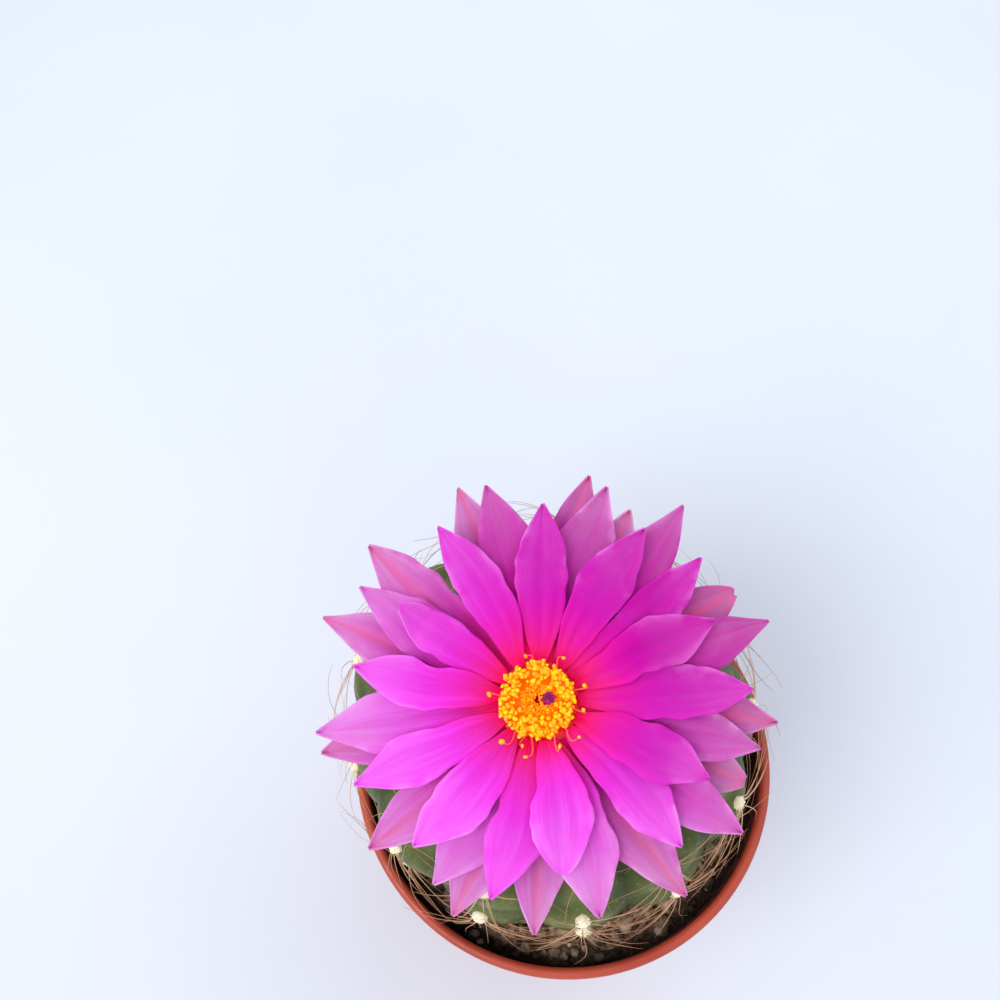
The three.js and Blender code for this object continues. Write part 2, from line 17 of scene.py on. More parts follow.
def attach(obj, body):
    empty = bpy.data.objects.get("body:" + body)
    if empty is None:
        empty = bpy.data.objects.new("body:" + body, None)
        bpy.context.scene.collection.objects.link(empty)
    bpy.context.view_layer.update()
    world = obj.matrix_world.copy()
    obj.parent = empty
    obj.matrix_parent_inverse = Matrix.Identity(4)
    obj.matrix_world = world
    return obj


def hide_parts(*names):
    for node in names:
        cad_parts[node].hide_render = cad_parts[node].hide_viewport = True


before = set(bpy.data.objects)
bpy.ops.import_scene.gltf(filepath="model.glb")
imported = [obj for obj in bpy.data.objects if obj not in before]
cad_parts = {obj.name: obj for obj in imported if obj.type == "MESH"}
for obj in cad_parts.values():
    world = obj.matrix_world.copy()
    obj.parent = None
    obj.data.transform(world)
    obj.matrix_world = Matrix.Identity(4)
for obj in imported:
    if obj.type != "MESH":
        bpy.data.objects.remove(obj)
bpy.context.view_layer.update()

LOG = logging.getLogger("potted_cactus")
MM = 0.001
GAP = 0.3
SEED = 20
BODY = "root"
ALONG = "along"
TINT = "tint"
SUN = "sun"
GOLDEN_ANGLE = math.pi * (3 - math.sqrt(5))
UP = Vector((0, 0, 1))

Mesh = bmesh.types.BMesh
Piece = bpy.types.Object
Material = bpy.types.Material
Tree = bpy.types.NodeTree
Node = bpy.types.Node
Socket = bpy.types.NodeSocket
Colour = tuple[float, float, float, float]
Point = tuple[float, float]
Span = tuple[float, float]
Outline = Sequence[Point]
Route = Callable[[float], Vector]


# Numbers

def paint(red: int, green: int, blue: int) -> Colour:
    """A display colour of 0 to 255 a channel as a linear colour.

    Args:
        red: The red channel.
        green: The green channel.
        blue: The blue channel.

    Returns:
        The linear colour with an alpha of 1.
    """
    shares = [channel / 255 for channel in (red, green, blue)]
    linear = [((s + 0.055) / 1.055) ** 2.4 if s > 0.04 else s / 12.92 for s in shares]
    return (*linear, 1.0)


def mix(low: float, high: float, share: float) -> float:
    """The value at a share of the way from low to high."""
    return low + (high - low) * share


def smoothstep(value: float, low: float, high: float) -> float:
    """A smooth rise from 0 at low to 1 at high."""
    share = min(1.0, max(0.0, (value - low) / (high - low)))
    return share * share * (3 - 2 * share)


class Draw:
    """A seeded row of draws, the same one as the solids use."""

    def __init__(self, seed: int) -> None:
        """Start a row of draws.

        Args:
            seed: Where the row starts.
        """
        self.state = seed

    def between(self, low: float, high: float) -> float:
        """The next draw.

        Args:
            low: The least value.
            high: The greatest value.

        Returns:
            A value between the two.
        """
        self.state = (self.state * 1664525 + 1013904223) % 2**32
        return low + (high - low) * self.state / 2**32


# Mesh helpers

def clean(bm: Mesh) -> None:
    """Merge doubles and turn every face outwards."""
    bmesh.ops.remove_doubles(bm, verts=bm.verts, dist=1e-4)
    bmesh.ops.recalc_face_normals(bm, faces=bm.faces)


def turned(outline: Outline, steps: int) -> Mesh:
    """A closed shape turned about the upright axis.

    Args:
        outline: Points of radius and height, which start and end on the axis or at one point.
        steps: How many sides the shape has.

    Returns:
        The turned mesh.
    """
    bm = bmesh.new()
    ring = [bm.verts.new((radius, 0, height)) for radius, height in outline]
    edges = [bm.edges.new(pair) for pair in zip(ring, ring[1:])]
    bmesh.ops.spin(
        bm, geom=ring + edges, cent=(0, 0, 0), axis=(0, 0, 1), angle=2 * math.pi, steps=steps, use_merge=True
    )
    clean(bm)
    return bm


def arc(centre: Point, radius: float, start: float, end: float, steps: int) -> list[Point]:
    """Points on an arc of an outline.

    Args:
        centre: The radius and height of the arc's centre.
        radius: The arc's own radius.
        start: The first angle in degrees, from straight out.
        end: The last angle in degrees.
        steps: How many pieces the arc is split into.

    Returns:
        The points of radius and height, both ends included.
    """
    angles = [math.radians(mix(start, end, step / steps)) for step in range(steps + 1)]
    return [(centre[0] + radius * math.cos(a), centre[1] + radius * math.sin(a)) for a in angles]


def finished(
    name: str, bm: Mesh, material: Material, place: Matrix | None = None, crease: float = 40
) -> Piece:
    """Scale a mesh to metres and make it a smooth-shaded object at the origin.

    Args:
        name: The object's name.
        bm: The mesh in millimetres, which is freed.
        material: Its material.
        place: Where the mesh's own frame stands, in millimetres.
        crease: The angle in degrees from which an edge is shaded sharp.

    Returns:
        The new object.
    """
    bmesh.ops.transform(bm, matrix=Matrix.Scale(MM, 4) @ (place or Matrix.Identity(4)), verts=bm.verts)
    mesh = bpy.data.meshes.new(name)
    bm.to_mesh(mesh)
    bm.free()
    mesh.shade_smooth()
    mesh.set_sharp_from_angle(angle=math.radians(crease))
    mesh.materials.append(material)
    piece = bpy.data.objects.new(name, mesh)
    bpy.context.scene.collection.objects.link(piece)
    return piece


def declare(piece: Piece, node: str) -> None:
    """Tie a piece to the frame and report it.

    Args:
        piece: The piece.
        node: The solid that it stands for.
    """
    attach(piece, BODY)
    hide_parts(node)
    LOG.info("%s: %d faces", piece.name, len(piece.data.polygons))


def placed(
    name: str, node: str, bm: Mesh, material: Material, place: Matrix | None = None, crease: float = 80
) -> None:
    """Finish a mesh that needs no modifier and tie it to the frame.

    Args:
        name: The piece's name.
        node: The solid that it stands for.
        bm: The mesh in millimetres, which is freed.
        material: Its material.
        place: Where the mesh's own frame stands, in millimetres.
        crease: The angle in degrees from which an edge is shaded sharp.
    """
    declare(finished(name, bm, material, place, crease), node)


def apply_modifiers(piece: Piece) -> None:
    """Keep the shape that a piece's modifiers give it, and remove them.

    Args:
        piece: The piece.
    """
    depsgraph = bpy.context.evaluated_depsgraph_get()
    shaped = bpy.data.meshes.new_from_object(piece.evaluated_get(depsgraph))
    piece.modifiers.clear()
    piece.data = shaped


def thicken(piece: Piece, thickness: float) -> None:
    """Give a sheet its thickness, half to each side.

    Args:
        piece: The sheet.
        thickness: Its thickness in millimetres.
    """
    thick = piece.modifiers.new("thickness", "SOLIDIFY")
    thick.thickness = thickness * MM
    thick.offset = 0
    apply_modifiers(piece)


class Strands:
    """Thin tapering strands in one mesh, each bent along its own route."""

    # How late along its length a strand gets thin
    taper: float = 1.5

    def __init__(self, sides: int, steps: int) -> None:
        """Make the straight strand that all others are copies of.

        Args:
            sides: How many sides a strand has.
            steps: How many pieces its length is split into.
        """
        self.steps = steps
        self.pattern = bpy.data.meshes.new("strand_pattern")
        rod = bmesh.new()
        bmesh.ops.create_cone(rod, cap_ends=True, segments=sides, radius1=1, radius2=1, depth=1)
        upright = [edge for edge in rod.edges if abs(edge.verts[0].co.z - edge.verts[1].co.z) > 0.5]
        bmesh.ops.subdivide_edges(rod, edges=upright, cuts=steps - 1)
        self.corners = [(v.co.x, v.co.y, round((v.co.z + 0.5) * steps)) for v in rod.verts]
        rod.to_mesh(self.pattern)
        rod.free()
        self.bm = bmesh.new()
        self.along = self.bm.verts.layers.float.new(ALONG)
        self.tint = self.bm.verts.layers.float.new(TINT)

    def add(self, route: Route, radius: float, tip: float, tint: float) -> None:
        """Add one strand.

        Args:
            route: The strand's centre at a share of its length.
            radius: The radius at its root.
            tip: The share of that radius at its tip.
            tint: A value of 0 to 1 that its colour varies by.
        """
        first = len(self.bm.verts)
        self.bm.from_mesh(self.pattern, face_normals=False, vertex_normals=False)
        self.bm.verts.ensure_lookup_table()
        centres = [route(step / self.steps) for step in range(self.steps + 1)]
        whole = (centres[-1] - centres[0]).normalized()
        side = whole.orthogonal().normalized()
        other = whole.cross(side)
        for vertex, (x, y, step) in zip(self.bm.verts[first:], self.corners):
            share = step / self.steps
            thick = radius * mix(1, tip, share**self.taper)
            vertex.co = centres[step] + side * (x * thick) + other * (y * thick)
            vertex[self.along] = share
            vertex[self.tint] = tint


class Lumps:
    """Small rounded lumps in one mesh."""

    # How fine a lump's dents are, and how unlike those of a lump beside it
    dents: float = 1.7
    stride: float = 3.7

    def __init__(self, around: int, rings: int) -> None:
        """Make the round lump that all others are copies of.

        Args:
            around: How many sides a lump has.
            rings: How many rows of faces it has.
        """
        self.pattern = bpy.data.meshes.new("lump_pattern")
        ball = bmesh.new()
        bmesh.ops.create_uvsphere(ball, u_segments=around, v_segments=rings, radius=1)
        ball.to_mesh(self.pattern)
        ball.free()
        self.bm = bmesh.new()
        self.tint = self.bm.verts.layers.float.new(TINT)

    def add(self, place: Matrix, tint: float, rough: float = 0.0) -> None:
        """Add one lump.

        Args:
            place: Its place, turn and size.
            tint: A value of 0 to 1 that its colour varies by.
            rough: How uneven it is, as a share of its radius.
        """
        first = len(self.bm.verts)
        self.bm.from_mesh(self.pattern, face_normals=False, vertex_normals=False)
        self.bm.verts.ensure_lookup_table()
        shift = place.translation * self.stride
        for vertex in self.bm.verts[first:]:
            swell = 1 + rough * noise.noise(vertex.co * self.dents + shift)
            vertex.co = place @ (vertex.co * swell)
            vertex[self.tint] = tint


# Shared effects

class Nodes:
    """Adds and joins the nodes of one tree."""

    def __init__(self, tree: Tree) -> None:
        """Work on a tree.

        Args:
            tree: The material's or group's tree.
        """
        self.tree = tree

    def add(self, kind: str, inputs: dict | None = None, **settings: object) -> Node:
        """Add a node.

        Args:
            kind: The node's type.
            inputs: Values or sockets by the name or number of the input.
            **settings: The node's own settings.

        Returns:
            The new node.
        """
        node = self.tree.nodes.new(kind)
        for name, value in settings.items():
            setattr(node, name, value)
        for key, value in (inputs or {}).items():
            self.feed(node.inputs[key], value)
        return node

    def feed(self, socket: Socket, value: object) -> None:
        """Give an input a value, or link another node's output to it.

        Args:
            socket: The input.
            value: The value, or the other node's output.
        """
        if isinstance(value, Socket):
            self.tree.links.new(value, socket)
        else:
            socket.default_value = value

    def math(self, operation: str, first: object, second: object = 0.0) -> Socket:
        """Join two numbers.

        Args:
            operation: What to do with them.
            first: The first value or socket.
            second: The second value or socket.

        Returns:
            The result's socket.
        """
        return self.add("ShaderNodeMath", {0: first, 1: second}, operation=operation).outputs[0]

    def times(self, first: object, second: object) -> Socket:
        """The product of two numbers."""
        return self.math("MULTIPLY", first, second)

    def plus(self, first: object, second: object) -> Socket:
        """The sum of two numbers."""
        return self.math("ADD", first, second)

    def minus(self, first: object, second: object) -> Socket:
        """The first number less the second."""
        return self.math("SUBTRACT", first, second)

    def halves(self, first: object, second: object) -> Socket:
        """The mean of two numbers."""
        return self.plus(self.times(first, 0.5), self.times(second, 0.5))

    def blend(self, share: object, low: object, high: object) -> Socket:
        """Blend two colours.

        Args:
            share: How much of the second colour shows.
            low: The first colour or socket.
            high: The second colour or socket.

        Returns:
            The blended colour's socket.
        """
        node = self.add("ShaderNodeMix", data_type="RGBA", clamp_factor=True)
        self.feed(node.inputs[0], share)
        self.feed(node.inputs[6], low)
        self.feed(node.inputs[7], high)
        return node.outputs[2]

    def ramp(self, share: object, stops: Sequence[tuple[float, Colour]]) -> Socket:
        """Run through colours.

        Args:
            share: Where on the ramp to read.
            stops: The places and colours on it.

        Returns:
            The colour's socket.
        """
        node = self.add("ShaderNodeValToRGB", {0: share})
        marks = node.color_ramp.elements
        while len(marks) < len(stops):
            marks.new(0.5)
        for mark, (place, colour) in zip(marks, stops):
            mark.position = place
            mark.color = colour
        return node.outputs[0]

    def between(
        self, value: object, low: float, high: float, to_low: float = 0.0, to_high: float = 1.0
    ) -> Socket:
        """Map a value from one range to another, held at its ends.

        Args:
            value: The value's socket.
            low: The value that becomes to_low.
            high: The value that becomes to_high.
            to_low: The result at low.
            to_high: The result at high.

        Returns:
            The result's socket.
        """
        inputs = {0: value, 1: low, 2: high, 3: to_low, 4: to_high}
        return self.add("ShaderNodeMapRange", inputs, interpolation_type="SMOOTHSTEP").outputs[0]

    def attribute(self, name: str) -> Socket:
        """The number that the mesh carries under a name."""
        return self.add("ShaderNodeAttribute", attribute_name=name).outputs["Fac"]

    def place(self) -> Socket:
        """The place on the piece, in metres."""
        return self.add("ShaderNodeTexCoord").outputs["Object"]

    def radius(self, place: Socket) -> Socket:
        """How far a place is from the upright axis, in metres."""
        flat = self.add("ShaderNodeVectorMath", {0: place, 1: (1.0, 1.0, 0.0)}, operation="MULTIPLY")
        return self.add("ShaderNodeVectorMath", {0: flat.outputs[0]}, operation="LENGTH").outputs["Value"]

    def effect(self, group: Tree, inputs: dict) -> Socket:
        """Place a shared effect.

        Args:
            group: The effect's node group.
            inputs: Its own values here.

        Returns:
            The effect's first output.
        """
        node = self.tree.nodes.new("ShaderNodeGroup")
        node.node_tree = group
        for key, value in inputs.items():
            self.feed(node.inputs[key], value)
        return node.outputs[0]


def new_group(
    name: str, inputs: Sequence[tuple[str, str, float]], output: str
) -> tuple[Nodes, dict[str, Socket], Node]:
    """Start a shared effect.

    Args:
        name: The effect's name.
        inputs: Each input's name, socket type and usual value.
        output: The name of its one output, a number.

    Returns:
        Its nodes, its input sockets by name, and its output node.
    """
    tree = bpy.data.node_groups.new(name, "ShaderNodeTree")
    for label, kind, usual in inputs:
        socket = tree.interface.new_socket(label, in_out="INPUT", socket_type=kind)
        if kind == "NodeSocketFloat":
            socket.default_value = usual
    tree.interface.new_socket(output, in_out="OUTPUT", socket_type="NodeSocketFloat")
    nodes = Nodes(tree)
    start = nodes.add("NodeGroupInput")
    end = nodes.add("NodeGroupOutput")
    return nodes, {label: start.outputs[label] for label, _, _ in inputs}, end


class Effects:
    """The effects that several finishes share, each built once."""

    # How far apart in the streaks' pattern two petals of unlike tint are read
    petal_stride: float = 97.0

    def __init__(self) -> None:
        """Build every shared effect."""
        self.mottle = self.build_mottle()
        self.pores = self.build_pores()
        self.speckle = self.build_speckle()
        self.streaks = self.build_streaks()

    def build_mottle(self) -> Tree:
        """Soft uneven patches, from 0 to 1.

        Returns:
            The node group.
        """
        inputs = [
            ("Place", "NodeSocketVector", 0.0),
            ("Patches per metre", "NodeSocketFloat", 200.0),
            ("Hardness", "NodeSocketFloat", 0.3),
        ]
        nodes, sockets, end = new_group("soft_mottle", inputs, "Patch")
        cloud = nodes.add("ShaderNodeTexNoise", {"Scale": sockets["Patches per metre"], "Detail": 4.0})
        nodes.feed(cloud.inputs["Vector"], sockets["Place"])
        spread = nodes.times(nodes.minus(cloud.outputs[0], 0.5), nodes.plus(sockets["Hardness"], 1.0))
        shifted = nodes.plus(nodes.times(spread, 2.0), 0.5)
        nodes.feed(end.inputs[0], nodes.between(shifted, 0.0, 1.0))
        return nodes.tree

    def build_pores(self) -> Tree:
        """A fine uneven height for a bump.

        Returns:
            The node group.
        """
        inputs = [
            ("Place", "NodeSocketVector", 0.0),
            ("Grains per metre", "NodeSocketFloat", 2000.0),
            ("Coarse share", "NodeSocketFloat", 0.3),
        ]
        nodes, sockets, end = new_group("fine_pores", inputs, "Height")
        fine = nodes.add("ShaderNodeTexNoise", {"Scale": sockets["Grains per metre"], "Detail": 2.0})
        nodes.feed(fine.inputs["Vector"], sockets["Place"])
        wide = nodes.times(sockets["Grains per metre"], 0.2)
        coarse = nodes.add("ShaderNodeTexNoise", {"Scale": wide, "Detail": 3.0})
        nodes.feed(coarse.inputs["Vector"], sockets["Place"])
        rolling = nodes.times(coarse.outputs[0], sockets["Coarse share"])
        nodes.feed(end.inputs[0], nodes.plus(fine.outputs[0], rolling))
        return nodes.tree

    def build_speckle(self) -> Tree:
        """Small round specks, 1 inside and 0 outside.

        Returns:
            The node group.
        """
        inputs = [
            ("Place", "NodeSocketVector", 0.0),
            ("Specks per metre", "NodeSocketFloat", 1200.0),
            ("Size", "NodeSocketFloat", 0.2),
        ]
        nodes, sockets, end = new_group("round_specks", inputs, "Speck")
        cells = nodes.add("ShaderNodeTexVoronoi", {"Scale": sockets["Specks per metre"]}, feature="F1")
        nodes.feed(cells.inputs["Vector"], sockets["Place"])
        outside = nodes.math("DIVIDE", cells.outputs["Distance"], sockets["Size"])
        nodes.feed(end.inputs[0], nodes.between(outside, 0.6, 1.0, 1.0, 0.0))
        return nodes.tree

    def build_streaks(self) -> Tree:
        """Fine streaks that run along a petal, from 0 to 1.

        Returns:
            The node group.
        """
        inputs = [
            ("Sheet", "NodeSocketVector", 0.0),
            ("Streaks across", "NodeSocketFloat", 30.0),
            ("Breaks along", "NodeSocketFloat", 2.0),
            ("Petal", "NodeSocketFloat", 0.0),
        ]
        nodes, sockets, end = new_group("long_streaks", inputs, "Streak")
        split = nodes.add("ShaderNodeSeparateXYZ", {0: sockets["Sheet"]})
        along = nodes.times(split.outputs[0], sockets["Breaks along"])
        across = nodes.times(split.outputs[1], sockets["Streaks across"])
        petal = nodes.times(sockets["Petal"], self.petal_stride)
        spot = nodes.add("ShaderNodeCombineXYZ", {0: along, 1: across, 2: petal})
        cloud = nodes.add("ShaderNodeTexNoise", {"Vector": spot.outputs[0], "Scale": 1.0, "Detail": 2.0})
        nodes.feed(end.inputs[0], nodes.between(cloud.outputs[0], 0.3, 0.7))
        return nodes.tree


def new_material(name: str, **sockets: object) -> tuple[Material, Nodes, Node]:
    """Start a material with its shader's steady values.

    Args:
        name: The material's name.
        **sockets: Values of the shader's sockets, with _ for each space.

    Returns:
        The material, its nodes and its shader.
    """
    material = bpy.data.materials.new(name)
    material.use_nodes = True
    nodes = Nodes(material.node_tree)
    shader = material.node_tree.nodes["Principled BSDF"]
    for label, value in sockets.items():
        shader.inputs[label.replace("_", " ")].default_value = value
    return material, nodes, shader


def bump(nodes: Nodes, shader: Node, height: Socket, depth: float, strength: float) -> None:
    """Dent a surface by a height.

    Args:
        nodes: The material's nodes.
        shader: The shader whose normal is dented.
        height: The height's socket, about 0 to 1.
        depth: How deep the dents are, in millimetres.
        strength: How strongly they show.
    """
    dents = nodes.add("ShaderNodeBump", {"Strength": strength, "Distance": depth * MM, "Height": height})
    nodes.feed(shader.inputs["Normal"], dents.outputs[0])


# Finishes

@dataclass(frozen=True)
class PotPlastic:
    """Satin orange-brown plastic, with soil dust and painted shade, near black, on the inner wall just above
    the soil.
    """

    light: Colour = paint(190, 78, 56)
    dark: Colour = paint(168, 62, 44)
    # Soil dust and painted shade on the inner wall: its near-black colour, and the heights that it fades
    # between
    dust_and_shade: Colour = paint(46, 16, 8)
    dust_and_shade_top: float = 54.5
    dust_and_shade_foot: float = 52.6
    inside_radius: float = 31.1
    inside_from: float = 47

    def build(self, effects: Effects) -> Material:
        """Make the material.

        Args:
            effects: The shared effects.

        Returns:
            The material.
        """
        material, nodes, shader = new_material("pot_plastic", Specular_IOR_Level=0.45, Coat_Roughness=0.3)
        place = nodes.place()
        patch = nodes.effect(effects.mottle, {"Place": place, "Patches per metre": 60.0})
        base = nodes.blend(patch, self.dark, self.light)
        split = nodes.add("ShaderNodeSeparateXYZ", {0: place})
        height = split.outputs[2]
        wall = self.inside_radius
        within = nodes.between(nodes.radius(place), (wall - 0.2) * MM, (wall + 0.2) * MM, 1.0, 0.0)
        above = nodes.between(height, (self.inside_from - 0.5) * MM, (self.inside_from + 0.5) * MM)
        low = nodes.between(height, self.dust_and_shade_foot * MM, self.dust_and_shade_top * MM, 1.0, 0.0)
        crumbs = nodes.effect(effects.mottle, {"Place": place, "Patches per metre": 900.0, "Hardness": 1.5})
        cover = nodes.between(crumbs, 0.0, 0.5, 0.7, 1.0)
        # Soil dust and painted shade: the inner wall is painted near black above the soil
        dust_and_shade_mask = nodes.times(nodes.times(nodes.times(within, above), low), cover)
        nodes.feed(shader.inputs["Base Color"], nodes.blend(dust_and_shade_mask, base, self.dust_and_shade))
        scuffs = nodes.effect(effects.mottle, {"Place": place, "Patches per metre": 350.0, "Hardness": 0.6})
        gloss = nodes.between(scuffs, 0.0, 1.0, 0.34, 0.5)
        nodes.feed(shader.inputs["Roughness"], nodes.plus(gloss, nodes.times(dust_and_shade_mask, 0.4)))
        pores = nodes.effect(effects.pores, {"Place": place, "Grains per metre": 2600.0})
        bump(nodes, shader, pores, 0.05, 0.35)
        return material


@dataclass(frozen=True)
class Earth:
    """Dark crumbly peat, or a grain in it. It varies from lump to lump and is painted dark by the wall, as
    shade that the wall casts.
    """

    name: str = "peat"
    dark: Colour = paint(40, 26, 18)
    light: Colour = paint(148, 120, 96)
    # Painted shade by the pot's wall: its colour, how much of it shows, the radii that it grows over and how
    # far its edge wanders
    painted_wall_shade: Colour = paint(20, 9, 5)
    painted_wall_shade_share: float = 0.94
    painted_wall_shade_from: float = 27
    painted_wall_shade_to: float = 31.2
    painted_wall_shade_wander: float = 2
    grains: float = 1500.0
    depth: float = 0.4

    def build(self, effects: Effects) -> Material:
        """Make the material.

        Args:
            effects: The shared effects.

        Returns:
            The material.
        """
        material, nodes, shader = new_material(self.name, Roughness=0.95, Specular_IOR_Level=0.2)
        place = nodes.place()
        coarse = {"Place": place, "Patches per metre": self.grains, "Hardness": 0.8}
        patch = nodes.effect(effects.mottle, coarse)
        unshaded = nodes.blend(nodes.halves(patch, nodes.attribute(TINT)), self.dark, self.light)
        # Painted shade: darker towards the pot's wall, with a wandering edge
        wide = nodes.effect(effects.mottle, {"Place": place, "Patches per metre": 150.0})
        reach = nodes.plus(nodes.radius(place), nodes.times(wide, self.painted_wall_shade_wander * MM))
        painted_wall_shade = nodes.between(reach, self.painted_wall_shade_from * MM, self.painted_wall_shade_to * MM, 0.0, self.painted_wall_shade_share)
        nodes.feed(shader.inputs["Base Color"], nodes.blend(painted_wall_shade, unshaded, self.painted_wall_shade))
        fine = {"Place": place, "Grains per metre": self.grains * 1.5, "Coarse share": 1.0}
        pores = nodes.effect(effects.pores, fine)
        bump(nodes, shader, pores, self.depth, 0.8)
        return material


@dataclass(frozen=True)
class StemSkin:
    """Glossy olive green skin, painted dark in the grooves as shade and paler on the rib crests, with faint
    upright streaks and tiny pale specks.
    """

    # Painted shade deep in the grooves, then the skin, then the paler crests
    groove_shade: Colour = paint(44, 56, 18)
    skin: Colour = paint(84, 96, 40)
    crest: Colour = paint(118, 124, 74)
    streak: Colour = paint(54, 66, 24)
    speck: Colour = paint(168, 166, 112)
    streak_stretch: tuple[float, float, float] = (1.0, 1.0, 0.12)

    def build(self, effects: Effects) -> Material:
        """Make the material.

        Args:
            effects: The shared effects.

        Returns:
            The material.
        """
        material, nodes, shader = new_material(
            "stem_skin", Specular_IOR_Level=0.3,
            Subsurface_Weight=0.08, Subsurface_Radius=(0.4, 1.0, 0.2), Subsurface_Scale=0.8 * MM,
        )
        place = nodes.place()
        height = nodes.attribute(ALONG)
        # Painted shade: dark in the grooves, paler on the rib crests
        shaded_tones = nodes.ramp(height, [(0.0, self.groove_shade), (0.55, self.skin), (1.0, self.crest)])
        patch = nodes.effect(effects.mottle, {"Place": place, "Patches per metre": 250.0, "Hardness": 0.4})
        uneven = nodes.blend(nodes.times(patch, 0.45), shaded_tones, self.skin)
        tall = nodes.add("ShaderNodeVectorMath", {0: place, 1: self.streak_stretch}, operation="MULTIPLY")
        lines = {"Place": tall.outputs[0], "Patches per metre": 900.0, "Hardness": 0.5}
        upright = nodes.effect(effects.mottle, lines)
        streaked = nodes.blend(nodes.times(upright, 0.4), uneven, self.streak)
        speck = nodes.effect(effects.speckle, {"Place": place, "Specks per metre": 1100.0, "Size": 0.22})
        nodes.feed(shader.inputs["Base Color"], nodes.blend(nodes.times(speck, 0.3), streaked, self.speck))
        nodes.feed(shader.inputs["Roughness"], nodes.between(patch, 0.0, 1.0, 0.36, 0.5))
        pores = nodes.effect(effects.pores, {"Place": place, "Grains per metre": 3200.0, "Coarse share": 0.8})
        bump(nodes, shader, pores, 0.08, 0.45)
        return material


@dataclass(frozen=True)
class Fibre:
    """A fine strand whose colour runs from root to tip and varies from strand to strand.

    A thin living strand passes on light from behind; a painted glow, an emission of its middle colour, stands
    in for it.
    """

    name: str
    root: Colour
    middle: Colour
    tip: Colour
    other: Colour
    roughness: float = 0.5
    glow: float = 0.0
    painted_glow: float = 0.0

    def build(self, effects: Effects) -> Material:
        """Make the material.

        Args:
            effects: The shared effects.

        Returns:
            The material.
        """
        material, nodes, shader = new_material(
            self.name, Roughness=self.roughness, Specular_IOR_Level=0.4,
            Subsurface_Weight=self.glow, Subsurface_Radius=(1.0, 0.6, 0.2), Subsurface_Scale=0.5 * MM,
            # Painted glow: the strand emits its middle colour as though lit through
            Emission_Color=self.middle, Emission_Strength=self.painted_glow,
        )
        run = nodes.ramp(nodes.attribute(ALONG), [(0.0, self.root), (0.35, self.middle), (1.0, self.tip)])
        patch = nodes.effect(effects.mottle, {"Place": nodes.place(), "Patches per metre": 700.0})
        turn = nodes.times(nodes.plus(nodes.attribute(TINT), nodes.times(patch, 0.3)), 0.7)
        nodes.feed(shader.inputs["Base Color"], nodes.blend(turn, run, self.other))
        return material


@dataclass(frozen=True)
class PetalRun:
    """The colours along a petal: near its root, where it widens, past its middle and at its tip."""

    heart: Colour
    blade: Colour
    late: Colour
    tip: Colour

    def stops(self, wedge: Colour, wedge_end: float, root: Colour) -> list[tuple[float, Colour]]:
        """The ramp's stops along the petal.

        Args:
            wedge: The colour of its narrow foot.
            wedge_end: The share of its length where that foot ends.
            root: The colour just past the foot.

        Returns:
            The places and colours.
        """
        return [
            (0.0, wedge), (0.7 * wedge_end, wedge), (wedge_end, root), (0.27, self.heart), (0.44, self.blade),
            (0.66, self.late), (1.0, self.tip),
        ]


